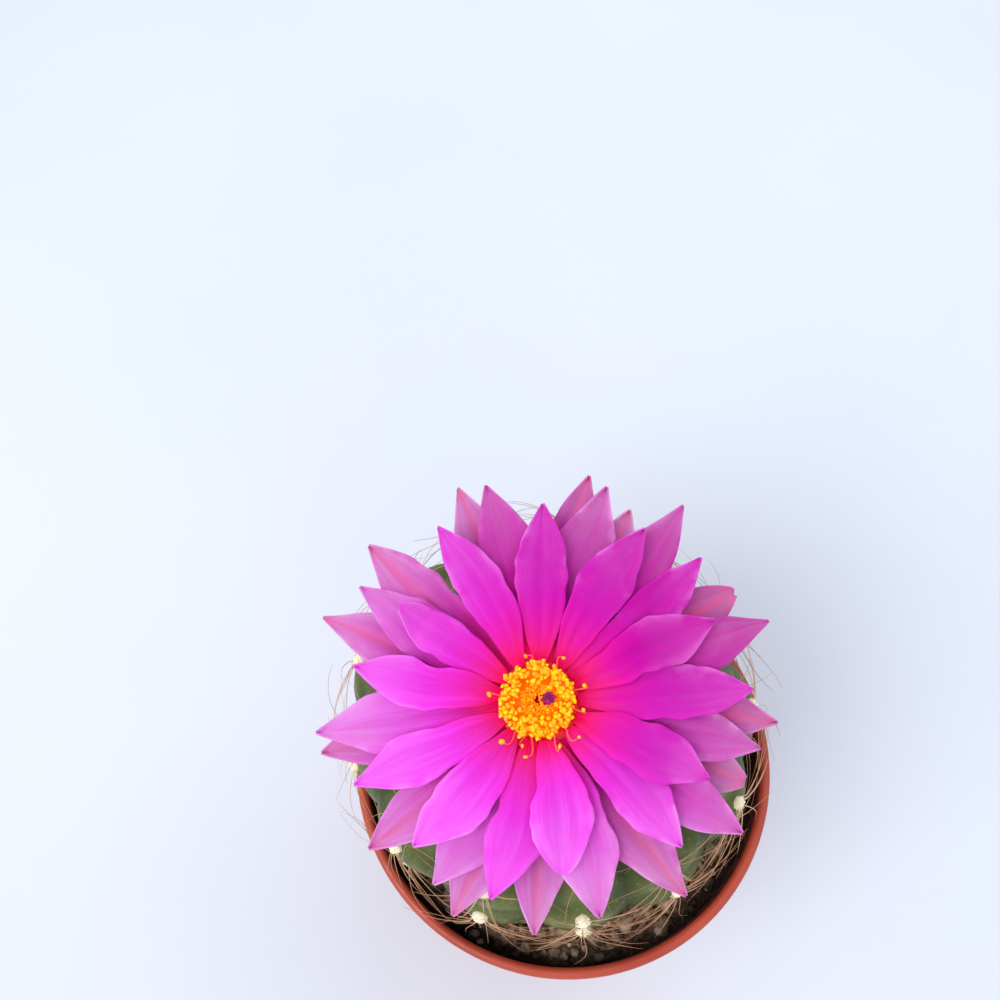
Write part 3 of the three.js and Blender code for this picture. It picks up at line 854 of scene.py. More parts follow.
@dataclass(frozen=True)
class PetalTissue:
    """Satin petal: hot pink at the root, then magenta, paler at the tip, with pale edges partly painted
    highlight, and painted light and shade by the sun.
    """

    name: str
    wedge: Colour
    wedge_end: float
    # Painted light and shade: the shaded run is painted where a petal faces away from the sun, the sunny run
    # where it faces it
    shaded: PetalRun
    sunny: PetalRun
    # The pale edge colour is partly the petal's own pale margin and partly a painted highlight along its rim
    edge: Colour
    edge_share: float
    midrib: Colour
    midrib_share: float
    point_share: float
    root: Colour = paint(255, 34, 110)
    vein: Colour = paint(196, 0, 160)
    vein_share: float = 0.28
    streak_shift: float = 0.14
    petal_shift: float = 0.1
    lift_share: float = 0.07

    def build(self, effects: Effects) -> Material:
        """Make the material.

        Args:
            effects: The shared effects.

        Returns:
            The material.
        """
        material, nodes, shader = new_material(
            self.name, Specular_IOR_Level=0.08, Sheen_Weight=0.03, Sheen_Roughness=0.4,
            Subsurface_Weight=0.65, Subsurface_Radius=(1.0, 0.2, 0.9), Subsurface_Scale=1.4 * MM,
        )
        sheet = nodes.add("ShaderNodeTexCoord").outputs["UV"]
        split = nodes.add("ShaderNodeSeparateXYZ", {0: sheet})
        along = split.outputs[0]
        aside = nodes.math("ABSOLUTE", nodes.minus(nodes.times(split.outputs[1], 2.0), 1.0))
        petal = nodes.attribute(TINT)
        fine = nodes.effect(effects.streaks, {"Sheet": sheet, "Streaks across": 30.0, "Petal": petal})
        broad = nodes.effect(effects.streaks, {"Sheet": sheet, "Streaks across": 7.0, "Petal": petal})
        streak = nodes.plus(nodes.times(fine, 0.35), nodes.times(broad, 0.65))
        wavy = nodes.plus(along, nodes.times(nodes.minus(streak, 0.5), self.streak_shift))
        shifted = nodes.plus(wavy, nodes.times(nodes.minus(petal, 0.5), self.petal_shift))
        shaded, sunny = (
            nodes.ramp(shifted, run.stops(self.wedge, self.wedge_end, self.root))
            for run in (self.shaded, self.sunny)
        )
        # Painted light and shade: blend from the shaded run to the sunny one by how far the petal faces the
        # sun
        run = nodes.blend(nodes.attribute(SUN), shaded, sunny)
        veined = nodes.blend(nodes.times(nodes.minus(1.0, streak), self.vein_share), run, self.vein)
        soft = {"Place": nodes.place(), "Patches per metre": 160.0, "Hardness": 0.8}
        patch = nodes.effect(effects.mottle, soft)
        # Pale rims: partly the petal's paler margin, partly a painted highlight
        rim = nodes.times(nodes.math("POWER", aside, 4.0), nodes.between(patch, 0.2, 0.8))
        own = nodes.times(nodes.plus(petal, 0.3), self.edge_share)
        pale_edge_and_highlight = nodes.times(nodes.times(rim, nodes.between(along, 0.3, 0.8)), own)
        edged = nodes.blend(pale_edge_and_highlight, veined, self.edge)
        middle = nodes.between(aside, 0.02, 0.4, self.midrib_share, 0.0)
        spine = nodes.times(middle, nodes.between(along, 0.3, 0.75))
        point = nodes.times(nodes.between(along, 0.88, 0.98), self.point_share)
        ribbed = nodes.blend(nodes.math("MAXIMUM", spine, point), edged, self.midrib)
        lift = nodes.times(nodes.times(patch, nodes.between(along, 0.35, 0.9)), self.lift_share)
        nodes.feed(shader.inputs["Base Color"], nodes.blend(lift, ribbed, self.edge))
        nodes.feed(shader.inputs["Roughness"], nodes.between(streak, 0.0, 1.0, 0.44, 0.6))
        bump(nodes, shader, streak, 0.1, 0.16)
        return material


@dataclass(frozen=True)
class SoftTissue:
    """Moist plant tissue of two near colours, such as a pollen bead, a stigma or the tube.

    Small bright tissue passes on light from behind; a painted glow, an emission of its dark colour, stands in
    for it.
    """

    name: str
    dark: Colour
    light: Colour
    patches: float = 900.0
    roughness: float = 0.4
    depth: float = 0.05
    glow: float = 0.15
    painted_glow: float = 0.0

    def build(self, effects: Effects) -> Material:
        """Make the material.

        Args:
            effects: The shared effects.

        Returns:
            The material.
        """
        material, nodes, shader = new_material(
            self.name, Roughness=self.roughness, Specular_IOR_Level=0.4,
            Subsurface_Weight=self.glow, Subsurface_Radius=(1.0, 0.6, 0.2), Subsurface_Scale=0.4 * MM,
            # Painted glow: the tissue emits its dark colour as though lit through
            Emission_Color=self.dark, Emission_Strength=self.painted_glow,
        )
        place = nodes.place()
        patch = nodes.effect(effects.mottle, {"Place": place, "Patches per metre": self.patches})
        share = nodes.halves(patch, nodes.attribute(TINT))
        nodes.feed(shader.inputs["Base Color"], nodes.blend(share, self.dark, self.light))
        pores = nodes.effect(effects.pores, {"Place": place, "Grains per metre": self.patches * 5})
        bump(nodes, shader, pores, self.depth, 0.4)
        return material


# Pot

@dataclass
class Pot:
    """The moulded pot: a tapered wall, a rim band with a rounded lip, and a floor with drain holes."""

    height: float = 55
    rim_radius: float = 32.5
    foot_radius: float = 22.5
    wall: float = 1.2
    lip: float = 1.6
    band_height: float = 9
    band_step: float = 1.6
    band_taper: float = 0.7
    band_slope: float = 1.8
    band_round: float = 0.5
    foot_round: float = 0.8
    floor: float = 1.6
    recess_radius: float = 11
    recess_depth: float = 0.35
    recess_edge: float = 0.5
    gate_radius: float = 1.5
    gate_edge: float = 0.2
    drain_count: int = 6
    drain_radius: float = 3
    drain_circle: float = 15.5
    sides: int = 160

    @property
    def band_foot(self) -> float:
        """The height where the rim band starts."""
        return self.height - self.band_height

    @property
    def band_radius(self) -> float:
        """The radius at the foot of the rim band."""
        return self.rim_radius - self.band_taper

    def inner_wall(self, gap: float) -> list[Point]:
        """The inner wall from the floor up to the band.

        Args:
            gap: How far inside it the points lie.

        Returns:
            Points of radius and height.
        """
        top = self.band_radius - self.band_step
        return [
            (self.foot_radius - self.wall - gap, self.floor + gap),
            (top - self.wall - gap, self.band_foot),
            (self.band_radius - self.wall - gap, self.band_foot + self.band_slope),
        ]

    def outline(self) -> list[Point]:
        """The whole section, from the middle of the underside round to the middle of the floor.

        Returns:
            Points of radius and height.
        """
        top = self.band_radius - self.band_step
        half = self.lip / 2
        return [
            (0, self.recess_depth / 2),
            (self.gate_radius, self.recess_depth / 2),
            (self.gate_radius + self.gate_edge, self.recess_depth),
            (self.recess_radius, self.recess_depth),
            (self.recess_radius + self.recess_edge, 0),
            *arc((self.foot_radius - self.foot_round, self.foot_round), self.foot_round, -90, 0, 5),
            (top - 0.05, self.band_foot - self.band_slope / 2 - self.band_round),
            (top + 0.2, self.band_foot - self.band_slope / 2 + 0.05),
            *arc((self.band_radius - self.band_round, self.band_foot + 0.35), self.band_round, -60, 0, 4),
            *arc((self.rim_radius - half, self.height - half), half, 0, 180, 14),
            *reversed(self.inner_wall(0)),
            (0, self.floor),
        ]

    def drills(self) -> Piece:
        """The rods that cut the drain holes.

        Returns:
            One object of all the rods.
        """
        bm = bmesh.new()
        for index in range(self.drain_count):
            angle = index * 2 * math.pi / self.drain_count
            centre = Vector((math.cos(angle), math.sin(angle), 0)) * self.drain_circle
            bmesh.ops.create_cone(
                bm, cap_ends=True, segments=32, radius1=self.drain_radius, radius2=self.drain_radius,
                depth=4 * self.floor, matrix=Matrix.Translation(centre),
            )
        return finished("drills", bm, bpy.data.materials.new("drill"))

    def build(self, plastic: Material) -> None:
        """Build the pot.

        Args:
            plastic: Its material.
        """
        piece = finished("pot_shell", turned(self.outline(), self.sides), plastic, crease=50)
        drills = self.drills()
        cut = piece.modifiers.new("drain_holes", "BOOLEAN")
        cut.operation = "DIFFERENCE"
        cut.solver = "EXACT"
        cut.object = drills
        apply_modifiers(piece)
        bpy.data.objects.remove(drills)
        piece.data.materials.clear()
        piece.data.materials.append(plastic)
        declare(piece, "pot")


# Stem

@dataclass(frozen=True)
class Areole:
    """One woolly spot on a rib."""

    angle: float
    level: int
    share: float


@dataclass
class StemShape:
    """The ribbed surface of the body, which the wool, the spines and the soil are set against."""

    outline: Outline = (
        (0, 36), (8, 37), (14, 40.5), (19.5, 45), (23.5, 50), (27.1, 55), (29.5, 59.5),
        (30.3, 63.5), (29, 67.3), (25.3, 70.4), (18.8, 72.3), (11.4, 73.1), (5, 72.9), (0, 72.6),
    )
    soil_top: float = 49.5
    lean: Point = (-2.2, 4.4)
    lean_from: float = 46
    lean_to: float = 66
    rib_count: int = 13
    rib_depth: float = 1.3
    rib_from: float = 47
    rib_full: float = 60
    crown_radius: float = 15
    chin: float = 0.5
    chin_drop: float = 0.2
    areole_step: float = 7.6
    areole_first: float = 3
    areoles_per_rib: int = 5
    samples: int = 600
    lengths: list[float] = field(default_factory=list)
    points: list[Vector] = field(default_factory=list)
    soil_share: float = 0.0

    def __post_init__(self) -> None:
        """Measure the outline and find where the soil meets it."""
        self.points = [self.curve(step / self.samples) for step in range(self.samples + 1)]
        self.lengths = [0.0]
        for low, high in zip(self.points, self.points[1:]):
            self.lengths.append(self.lengths[-1] + (high - low).length)
        below = [i for i in range(self.samples // 2) if self.points[i].y < self.soil_top]
        self.soil_share = self.lengths[below[-1]] / self.lengths[-1]

    @property
    def length(self) -> float:
        """The length of the outline."""
        return self.lengths[-1]

    def curve(self, share: float) -> Vector:
        """The smooth curve through the outline's points.

        Args:
            share: The share of the number of points.

        Returns:
            The radius and height there.
        """
        last = len(self.outline) - 1
        spot = share * last
        index = min(int(spot), last - 1)
        part = spot - index
        before, low, high, after = (
            Vector(self.outline[min(max(i, 0), last)]) for i in range(index - 1, index + 3)
        )
        leave = (high - before) * 0.5
        arrive = (after - low) * 0.5
        cubic = (low - high) * 2 + leave + arrive
        square = (high - low) * 3 - leave * 2 - arrive
        return cubic * part**3 + square * part**2 + leave * part + low

    def at(self, share: float) -> tuple[Vector, Vector]:
        """The outline at a share of its length.

        Args:
            share: The share of the length from the root to the crown.

        Returns:
            The radius and height there, and the direction onwards.
        """
        target = min(max(share, 0.0), 1.0) * self.length
        low, high = 0, self.samples
        while high - low > 1:
            middle = (low + high) // 2
            if self.lengths[middle] <= target:
                low = middle
            else:
                high = middle
        part = (target - self.lengths[low]) / (self.lengths[high] - self.lengths[low])
        before = self.points[max(low - 1, 0)]
        after = self.points[min(high + 1, self.samples)]
        return self.points[low].lerp(self.points[high], part), (after - before).normalized()

    def lean_at(self, height: float) -> Vector:
        """How far the body has leaned over at a height."""
        share = smoothstep(height, self.lean_from, self.lean_to)
        return Vector((self.lean[0] * share, self.lean[1] * share, 0))

    def crest_point(self, angle: float, share: float, off: float) -> Vector:
        """A point off the surface through the rib crests.

        Args:
            angle: The angle about the body's axis.
            share: The share of the outline's length.
            off: The distance off the surface.

        Returns:
            The point.
        """
        spot, tangent = self.at(share)
        radius = spot.x + tangent.y * off
        height = spot.y - tangent.x * off
        return Vector((radius * math.cos(angle), radius * math.sin(angle), height)) + self.lean_at(height)

    def groove_depth(self, spot: Vector) -> float:
        """How deep the grooves are at a radius and height."""
        above = smoothstep(spot.y, self.rib_from, self.rib_full)
        return self.rib_depth * above * smoothstep(spot.x, 0, self.crown_radius)

    def areole_offset(self, rib: int) -> float:
        """How far above the soil a rib's first areole stands."""
        return self.areole_first + (rib % 2) * self.areole_step / 2

    def aside(self, angle: float) -> tuple[int, float]:
        """Find the nearest rib.

        Args:
            angle: The angle about the body's axis.

        Returns:
            The rib, and how far aside of its crest the angle is, from 0 to 1.
        """
        turns = angle / (2 * math.pi) * self.rib_count
        rib = math.floor(turns + 0.5)
        return rib % self.rib_count, 2 * abs(turns - rib)

    def relief(self, angle: float, share: float) -> float:
        """How far the surface stands off the crest outline.

        Args:
            angle: The angle about the body's axis.
            share: The share of the outline's length.

        Returns:
            The distance, below 0 in the grooves.
        """
        rib, aside = self.aside(angle)
        depth = self.groove_depth(self.at(share)[0])
        run = (share - self.soil_share) * self.length
        phase = (run - self.areole_offset(rib)) / self.areole_step + self.chin_drop
        swell = self.chin * depth / self.rib_depth * (1 - aside**2) * math.cos(2 * math.pi * phase)
        return swell - depth * aside**2

    def areoles(self) -> Iterator[Areole]:
        """Go through the areoles, rib by rib from the soil up.

        Returns:
            Each areole in turn.
        """
        for rib in range(self.rib_count):
            for level in range(self.areoles_per_rib):
                run = self.areole_offset(rib) + level * self.areole_step
                angle = 2 * math.pi * rib / self.rib_count
                yield Areole(angle, level, self.soil_share + run / self.length)


@dataclass
class Bloom:
    """Where the flower stands and how it leans, with the space that its petals take."""

    stands: tuple[float, float, float] = (-4.4, 3.1, 72.2)
    tilt: float = math.radians(12)
    tube_height: float = 4.8
    petal_root: float = 5
    near_roof: float = 3.5
    far_roof: float = 6.0

    @property
    def place(self) -> Matrix:
        """The flower's own frame."""
        return Matrix.Translation(self.stands) @ Matrix.Rotation(self.tilt, 4, "X")

    def under(self, point: Vector) -> Vector:
        """Move a point to below the petals.

        Args:
            point: The point.

        Returns:
            The point, lowered if it was among the petals.
        """
        inside = self.place.inverted() @ point
        near = math.hypot(inside.x, inside.y) < 2 * self.petal_root
        inside.z = min(inside.z, self.near_roof if near else self.far_roof)
        return self.place @ inside


@dataclass
class Stem:
    """The body's skin, its woolly areoles and its spines."""

    shape: StemShape
    bloom: Bloom
    pot: Pot
    steps_per_rib: int = 24
    rings: int = 132
    skin_wave: float = 0.12
    skin_waves: float = 0.8
    pole_height: float = 0.6
    wool_radius: float = 1.15
    wool_height: float = 0.95
    wool_size: Span = (0.85, 1.1)
    wool_rough: float = 0.3
    wool_reach: float = 0.25
    hairs: int = 100
    hair_length: Span = (0.15, 0.42)
    hair_radius: float = 0.055
    hair_tip: float = 0.5
    hair_curl: float = 2.6
    hair_sunk: float = 0.9
    hair_flare: float = 0.5
    hair_droop: float = 0.3
    spine_radius: float = 0.085
    spine_sunk: float = 0.5
    spine_off: float = 0.5
    spine_size: Span = (0.75, 1.1)
    spine_length: Span = (0.6, 1.25)
    spine_tip: float = 0.25
    spine_rise: Span = (0.3, 2.6)
    spine_lift: float = 0.8
    stray_share: float = 0.36
    stray_rise: Span = (2.0, 4.8)
    spine_jitter: float = 18
    spine_wave: float = 0.28
    clear_of_soil: float = 0.9
    clear_of_rim: float = 1.0
    crown_level: int = 3
    # Each spine's bearing from straight down its rib, in degrees, and its length
    fan: Outline = (
        (-106, 10), (-90, 12), (-76, 13), (-60, 10), (-32, 8), (-8, 6), (22, 7), (52, 9), (70, 12), (86, 13),
        (104, 11),
    )
    crown_fan: Outline = ((-112, 7), (-84, 9), (-40, 6), (28, 6), (76, 9), (110, 7))

    def body(self, skin: Material) -> None:
        """Build the ribbed body.

        Args:
            skin: Its material.
        """
        shape = self.shape
        shares = [i / self.rings for i in range(self.rings + 1)]
        outline = [(shape.at(share)[0].x, share) for share in shares]
        outline[0] = (0, 0)
        outline[-1] = (0, 1)
        bm = turned(outline, shape.rib_count * self.steps_per_rib)
        height = bm.verts.layers.float.new(ALONG)
        for vertex in bm.verts:
            share = vertex.co.z
            spot, _ = shape.at(share)
            if math.hypot(vertex.co.x, vertex.co.y) < 1e-6:
                vertex.co = Vector((0, 0, spot.y)) + shape.lean_at(spot.y)
                vertex[height] = self.pole_height
                continue
            angle = math.atan2(vertex.co.y, vertex.co.x)
            relief = shape.relief(angle, share)
            point = shape.crest_point(angle, share, relief)
            out = (shape.crest_point(angle, share, relief + 1) - point) * self.skin_wave
            vertex.co = point + out * noise.noise(point * self.skin_waves)
            # The crest share, which the skin reads to paint shade into the grooves: 0 deep in a groove, 1 on
            # a crest
            vertex[height] = 1 + min(0.0, relief / shape.rib_depth)
        bmesh.ops.recalc_face_normals(bm, faces=bm.faces)
        placed("stem_body", "stem", bm, skin, crease=70)

    def areole_frame(self, spot: Areole) -> Matrix:
        """A frame on an areole, with Z off the skin.

        Args:
            spot: The areole.

        Returns:
            The frame.
        """
        foot = self.shape.crest_point(spot.angle, spot.share, self.shape.relief(spot.angle, spot.share))
        out = (self.shape.crest_point(spot.angle, spot.share, 2) - foot).normalized()
        return Matrix.Translation(foot) @ out.to_track_quat("Z", "Y").to_matrix().to_4x4()

    def wool(self, wool: Material) -> None:
        """Build the areoles' wool: a low mound and short curled hairs on each.

        Args:
            wool: Its material.
        """
        draw = Draw(SEED + 11)
        mounds = Lumps(10, 6)
        hairs = Strands(3, 3)
        for spot in self.shape.areoles():
            place = self.areole_frame(spot)
            size = draw.between(*self.wool_size)
            across = self.wool_radius * size
            squash = Matrix.Diagonal((across, across, self.wool_height * size, 1))
            mounds.add(place @ squash, draw.between(0, 1), self.wool_rough)
            for _ in range(self.hairs):
                route = self.hair_route(draw, place, size)
                hairs.add(route, self.hair_radius, self.hair_tip, draw.between(0, 1))
        placed("areole_mounds", "stem", mounds.bm, wool)
        placed("areole_hairs", "stem", hairs.bm, wool)

    def hair_route(self, draw: Draw, place: Matrix, size: float) -> Route:
        """The route of one curled hair of wool.

        Args:
            draw: The row of draws.
            place: The areole's frame.
            size: The areole's size.

        Returns:
            The route.
        """
        turn = draw.between(0, 2 * math.pi)
        tip = math.acos(draw.between(self.wool_reach, 1.0))
        length = draw.between(*self.hair_length) * size
        curl = draw.between(-self.hair_curl, self.hair_curl)
        root = Vector((
            math.sin(tip) * math.cos(turn) * self.wool_radius,
            math.sin(tip) * math.sin(turn) * self.wool_radius,
            math.cos(tip) * self.wool_height,
        )) * (self.hair_sunk * size)

        def route(share: float) -> Vector:
            """Bend the hair aside and down.

            Args:
                share: The share of its length.

            Returns:
                The hair's centre there.
            """
            bend = turn + curl * share
            out = math.sin(tip) + self.hair_flare * share
            rise = math.cos(tip) - self.hair_droop * share
            step = Vector((out * math.cos(bend), out * math.sin(bend), rise))
            return place @ (root + step * (length * share))

        return route

    def kept_clear(self, point: Vector) -> Vector:
        """Move a spine's point out of the soil, the pot and the petals.

        Args:
            point: The point.

        Returns:
            The point moved clear.
        """
        wall = self.pot.band_radius - self.pot.wall - 2 * GAP
        across = math.hypot(point.x, point.y)
        point.z = max(point.z, self.shape.soil_top + self.clear_of_soil)
        if point.z < self.pot.height + self.clear_of_rim and across > wall:
            point.x *= wall / across
            point.y *= wall / across
        return self.bloom.under(point)

    def spine_route(self, spot: Areole, bearing: float, length: float, rise: float, wave: float) -> Route:
        """The route of a spine that follows the curve of the body and rises off it.

        Args:
            spot: The areole that it leaves.
            bearing: Its bearing from straight down the rib, in degrees.
            length: Its length.
            rise: How far its tip rises off the crests.
            wave: How far it bends to one side and back.

        Returns:
            The route.
        """
        turn = math.radians(bearing)
        radius = self.shape.at(spot.share)[0].x
        swing = length * math.sin(turn) / (radius + rise)
        drop = length * math.cos(turn) / self.shape.length

        def route(share: float) -> Vector:
            """Follow the body and rise off it.

            Args:
                share: The share of the spine's length.

            Returns:
                The spine's centre there.
            """
            bend = wave * math.sin(math.pi * share) * share
            angle = spot.angle + swing * share + bend * math.cos(turn) / radius
            down = spot.share - drop * share + bend * math.sin(turn) / self.shape.length
            off = -self.spine_sunk if share == 0 else self.spine_off + rise * share**self.spine_lift
            point = self.shape.crest_point(angle, max(down, self.shape.soil_share), off)
            return point if share == 0 else self.kept_clear(point)

        return route

    def spines(self, horn: Material) -> None:
        """Build the spines.

        Args:
            horn: Their material.
        """
        draw = Draw(SEED)
        strands = Strands(4, 8)
        for spot in self.shape.areoles():
            for bearing, length in self.fan if spot.level < self.crown_level else self.crown_fan:
                stray = draw.between(0, 1) < self.stray_share
                route = self.spine_route(
                    spot,
                    bearing + draw.between(-self.spine_jitter, self.spine_jitter),
                    length * draw.between(*self.spine_length),
                    draw.between(*(self.stray_rise if stray else self.spine_rise)),
                    draw.between(-self.spine_wave, self.spine_wave) * length,
                )
                thick = self.spine_radius * draw.between(*self.spine_size)
                strands.add(route, thick, self.spine_tip, draw.between(0, 1))
        placed("spines", "stem", strands.bm, horn)

    def build(self, skin: Material, wool: Material, horn: Material) -> None:
        """Build the whole stem.

        Args:
            skin: The material of the body.
            wool: The material of the areoles.
            horn: The material of the spines.
        """
        self.body(skin)
        self.wool(wool)
        self.spines(horn)


# Soil

@dataclass
class Soil:
    """The peat that fills the pot, with loose crumbs and pale grains on it."""

    pot: Pot
    shape: StemShape
    lump: float = 0.35
    fine_lump: float = 0.45
    lump_shape: Span = (0.75, 1.2)
    lump_proud: float = 0.25
    under_body: float = 0.6
    outwards: float = 0.8
    sunk_points: int = 4
    hole_radius: float = 23.6
    edge_radius: float = 30.6
    block_tint: float = 0.3
    rings: int = 26
    sides: int = 420
    grain_count: int = 110
    grain_radius: Span = (0.35, 0.95)
    grain_rough: float = 0.35
    crumb_count: int = 640
    crumb_radius: Span = (0.4, 1.5)
    crumb_rough: float = 0.6
    fibre_count: int = 46
    fibre_radius: float = 0.08
    fibre_length: Span = (1.5, 4)
    fibre_curl: float = 1.5
    fibre_tip: float = 0.6
    fibre_margin: float = 1.5
    fibre_off: float = 0.15
    fibre_arch: float = 0.4

    def surface(self, x: float, y: float) -> float:
        """Find the height of the soil.

        Args:
            x: The place across.
            y: The place from front to back.

        Returns:
            The height there.
        """
        wide = math.sin(0.9 * x + 1) * math.cos(0.7 * y) + 0.6 * math.sin(1.9 * y - x)
        spot = Vector((x, y, 0))
        fine = noise.noise(spot * 0.9) + 0.6 * noise.noise(spot * 2.1) + 0.35 * noise.noise(spot * 4.7)
        return self.shape.soil_top + self.lump * wide + self.fine_lump * fine

    def shift(self, radius: float, height: float) -> Vector:
        """How far the hole's wall follows the leaning body."""
        return self.shape.lean_at(height) * (1 - smoothstep(radius, self.hole_radius, self.edge_radius))

    def block(self, peat: Material) -> None:
        """Build the soil itself.

        Args:
            peat: Its material.
        """
        sunk = self.shape.outline[:self.sunk_points]
        foot = [(radius + 2 * GAP if radius else 0, height - GAP) for radius, height in sunk]
        rings = [mix(self.hole_radius, self.edge_radius, i / self.rings) for i in range(self.rings + 1)]
        top = [(radius, self.shape.soil_top) for radius in rings]
        wall = list(reversed(self.pot.inner_wall(GAP)))
        bm = turned([*foot, *top, *wall, (0, self.pot.floor + GAP)], self.sides)
        tint = bm.verts.layers.float.new(TINT)
        for vertex in bm.verts:
            vertex[tint] = self.block_tint
            radius = math.hypot(vertex.co.x, vertex.co.y)
            if vertex.co.z > self.pot.floor + 2 * GAP and radius < self.edge_radius:
                vertex.co += self.shift(radius, vertex.co.z)
            if vertex.co.z > self.shape.soil_top - 0.01:
                vertex.co.z = self.surface(vertex.co.x, vertex.co.y)
        placed("soil_block", "soil", bm, peat)

    def spot(self, draw: Draw, margin: float) -> Vector:
        """A drawn place on the soil between the body and the wall.

        Args:
            draw: The row of draws.
            margin: How far it keeps off the wall.

        Returns:
            The place, on the surface.
        """
        angle = draw.between(0, 2 * math.pi)
        out = Vector((math.cos(angle), math.sin(angle), 0))
        least = self.hole_radius - self.under_body + out.dot(self.shape.lean_at(self.shape.soil_top))
        place = out * mix(least, self.edge_radius - margin, draw.between(0, 1) ** self.outwards)
        place.z = self.surface(place.x, place.y)
        return place

    def scatter(self, name: str, count: int, sizes: Span, rough: float, seed: int, finish: Material) -> None:
        """Scatter lumps over the soil.

        Args:
            name: The piece's name.
            count: How many there are.
            sizes: The least and greatest radius.
            rough: How uneven they are.
            seed: Where the row of draws starts.
            finish: Their material.
        """
        draw = Draw(seed)
        lumps = Lumps(7, 5)
        for _ in range(count):
            size = mix(*sizes, draw.between(0, 1) ** 2)
            turn = Euler([draw.between(0, math.pi) for _ in range(3)]).to_matrix().to_4x4()
            grow = Matrix.Diagonal([size * draw.between(*self.lump_shape) for _ in range(3)] + [1])
            place = self.spot(draw, size) + UP * (size * self.lump_proud)
            lumps.add(Matrix.Translation(place) @ turn @ grow, draw.between(0, 1), rough)
        placed(name, "soil", lumps.bm, finish)

    def fibres(self, fibre: Material) -> None:
        """Build the fine roots and fibres that lie on the soil.

        Args:
            fibre: Their material.
        """
        draw = Draw(SEED + 14)
        strands = Strands(3, 6)
        for _ in range(self.fibre_count):
            start = self.spot(draw, self.fibre_margin)
            heading = draw.between(0, 2 * math.pi)
            curl = draw.between(-self.fibre_curl, self.fibre_curl)
            length = draw.between(*self.fibre_length)

            def route(share: float, start: Vector = start, heading: float = heading) -> Vector:
                """Curl the fibre over the soil.

                Args:
                    share: The share of its length.
                    start: Where it starts.
                    heading: The angle that it starts off at.

                Returns:
                    The fibre's centre there.
                """
                bend = heading + curl * share
                point = start + Vector((math.cos(bend), math.sin(bend), 0)) * (length * share)
                most = self.edge_radius - GAP
                across = math.hypot(point.x, point.y)
                if across > most:
                    point *= most / across
                arch = self.fibre_arch * math.sin(math.pi * share)
                point.z = self.surface(point.x, point.y) + self.fibre_off + arch
                return point

            strands.add(route, self.fibre_radius, self.fibre_tip, draw.between(0, 1))
        placed("soil_fibres", "soil", strands.bm, fibre)

    def build(self, peat: Material, crumb: Material, grain: Material, fibre: Material) -> None:
        """Build the soil and all that lies on it.

        Args:
            peat: The material of the soil.
            crumb: The material of its dark crumbs.
            grain: The material of the pale grains.
            fibre: The material of the fibres.
        """
        self.block(peat)
        self.scatter("soil_crumbs", self.crumb_count, self.crumb_radius, self.crumb_rough, SEED + 12, crumb)
        self.scatter("soil_grains", self.grain_count, self.grain_radius, self.grain_rough, SEED + 13, grain)
        self.fibres(fibre)


# Flower tube

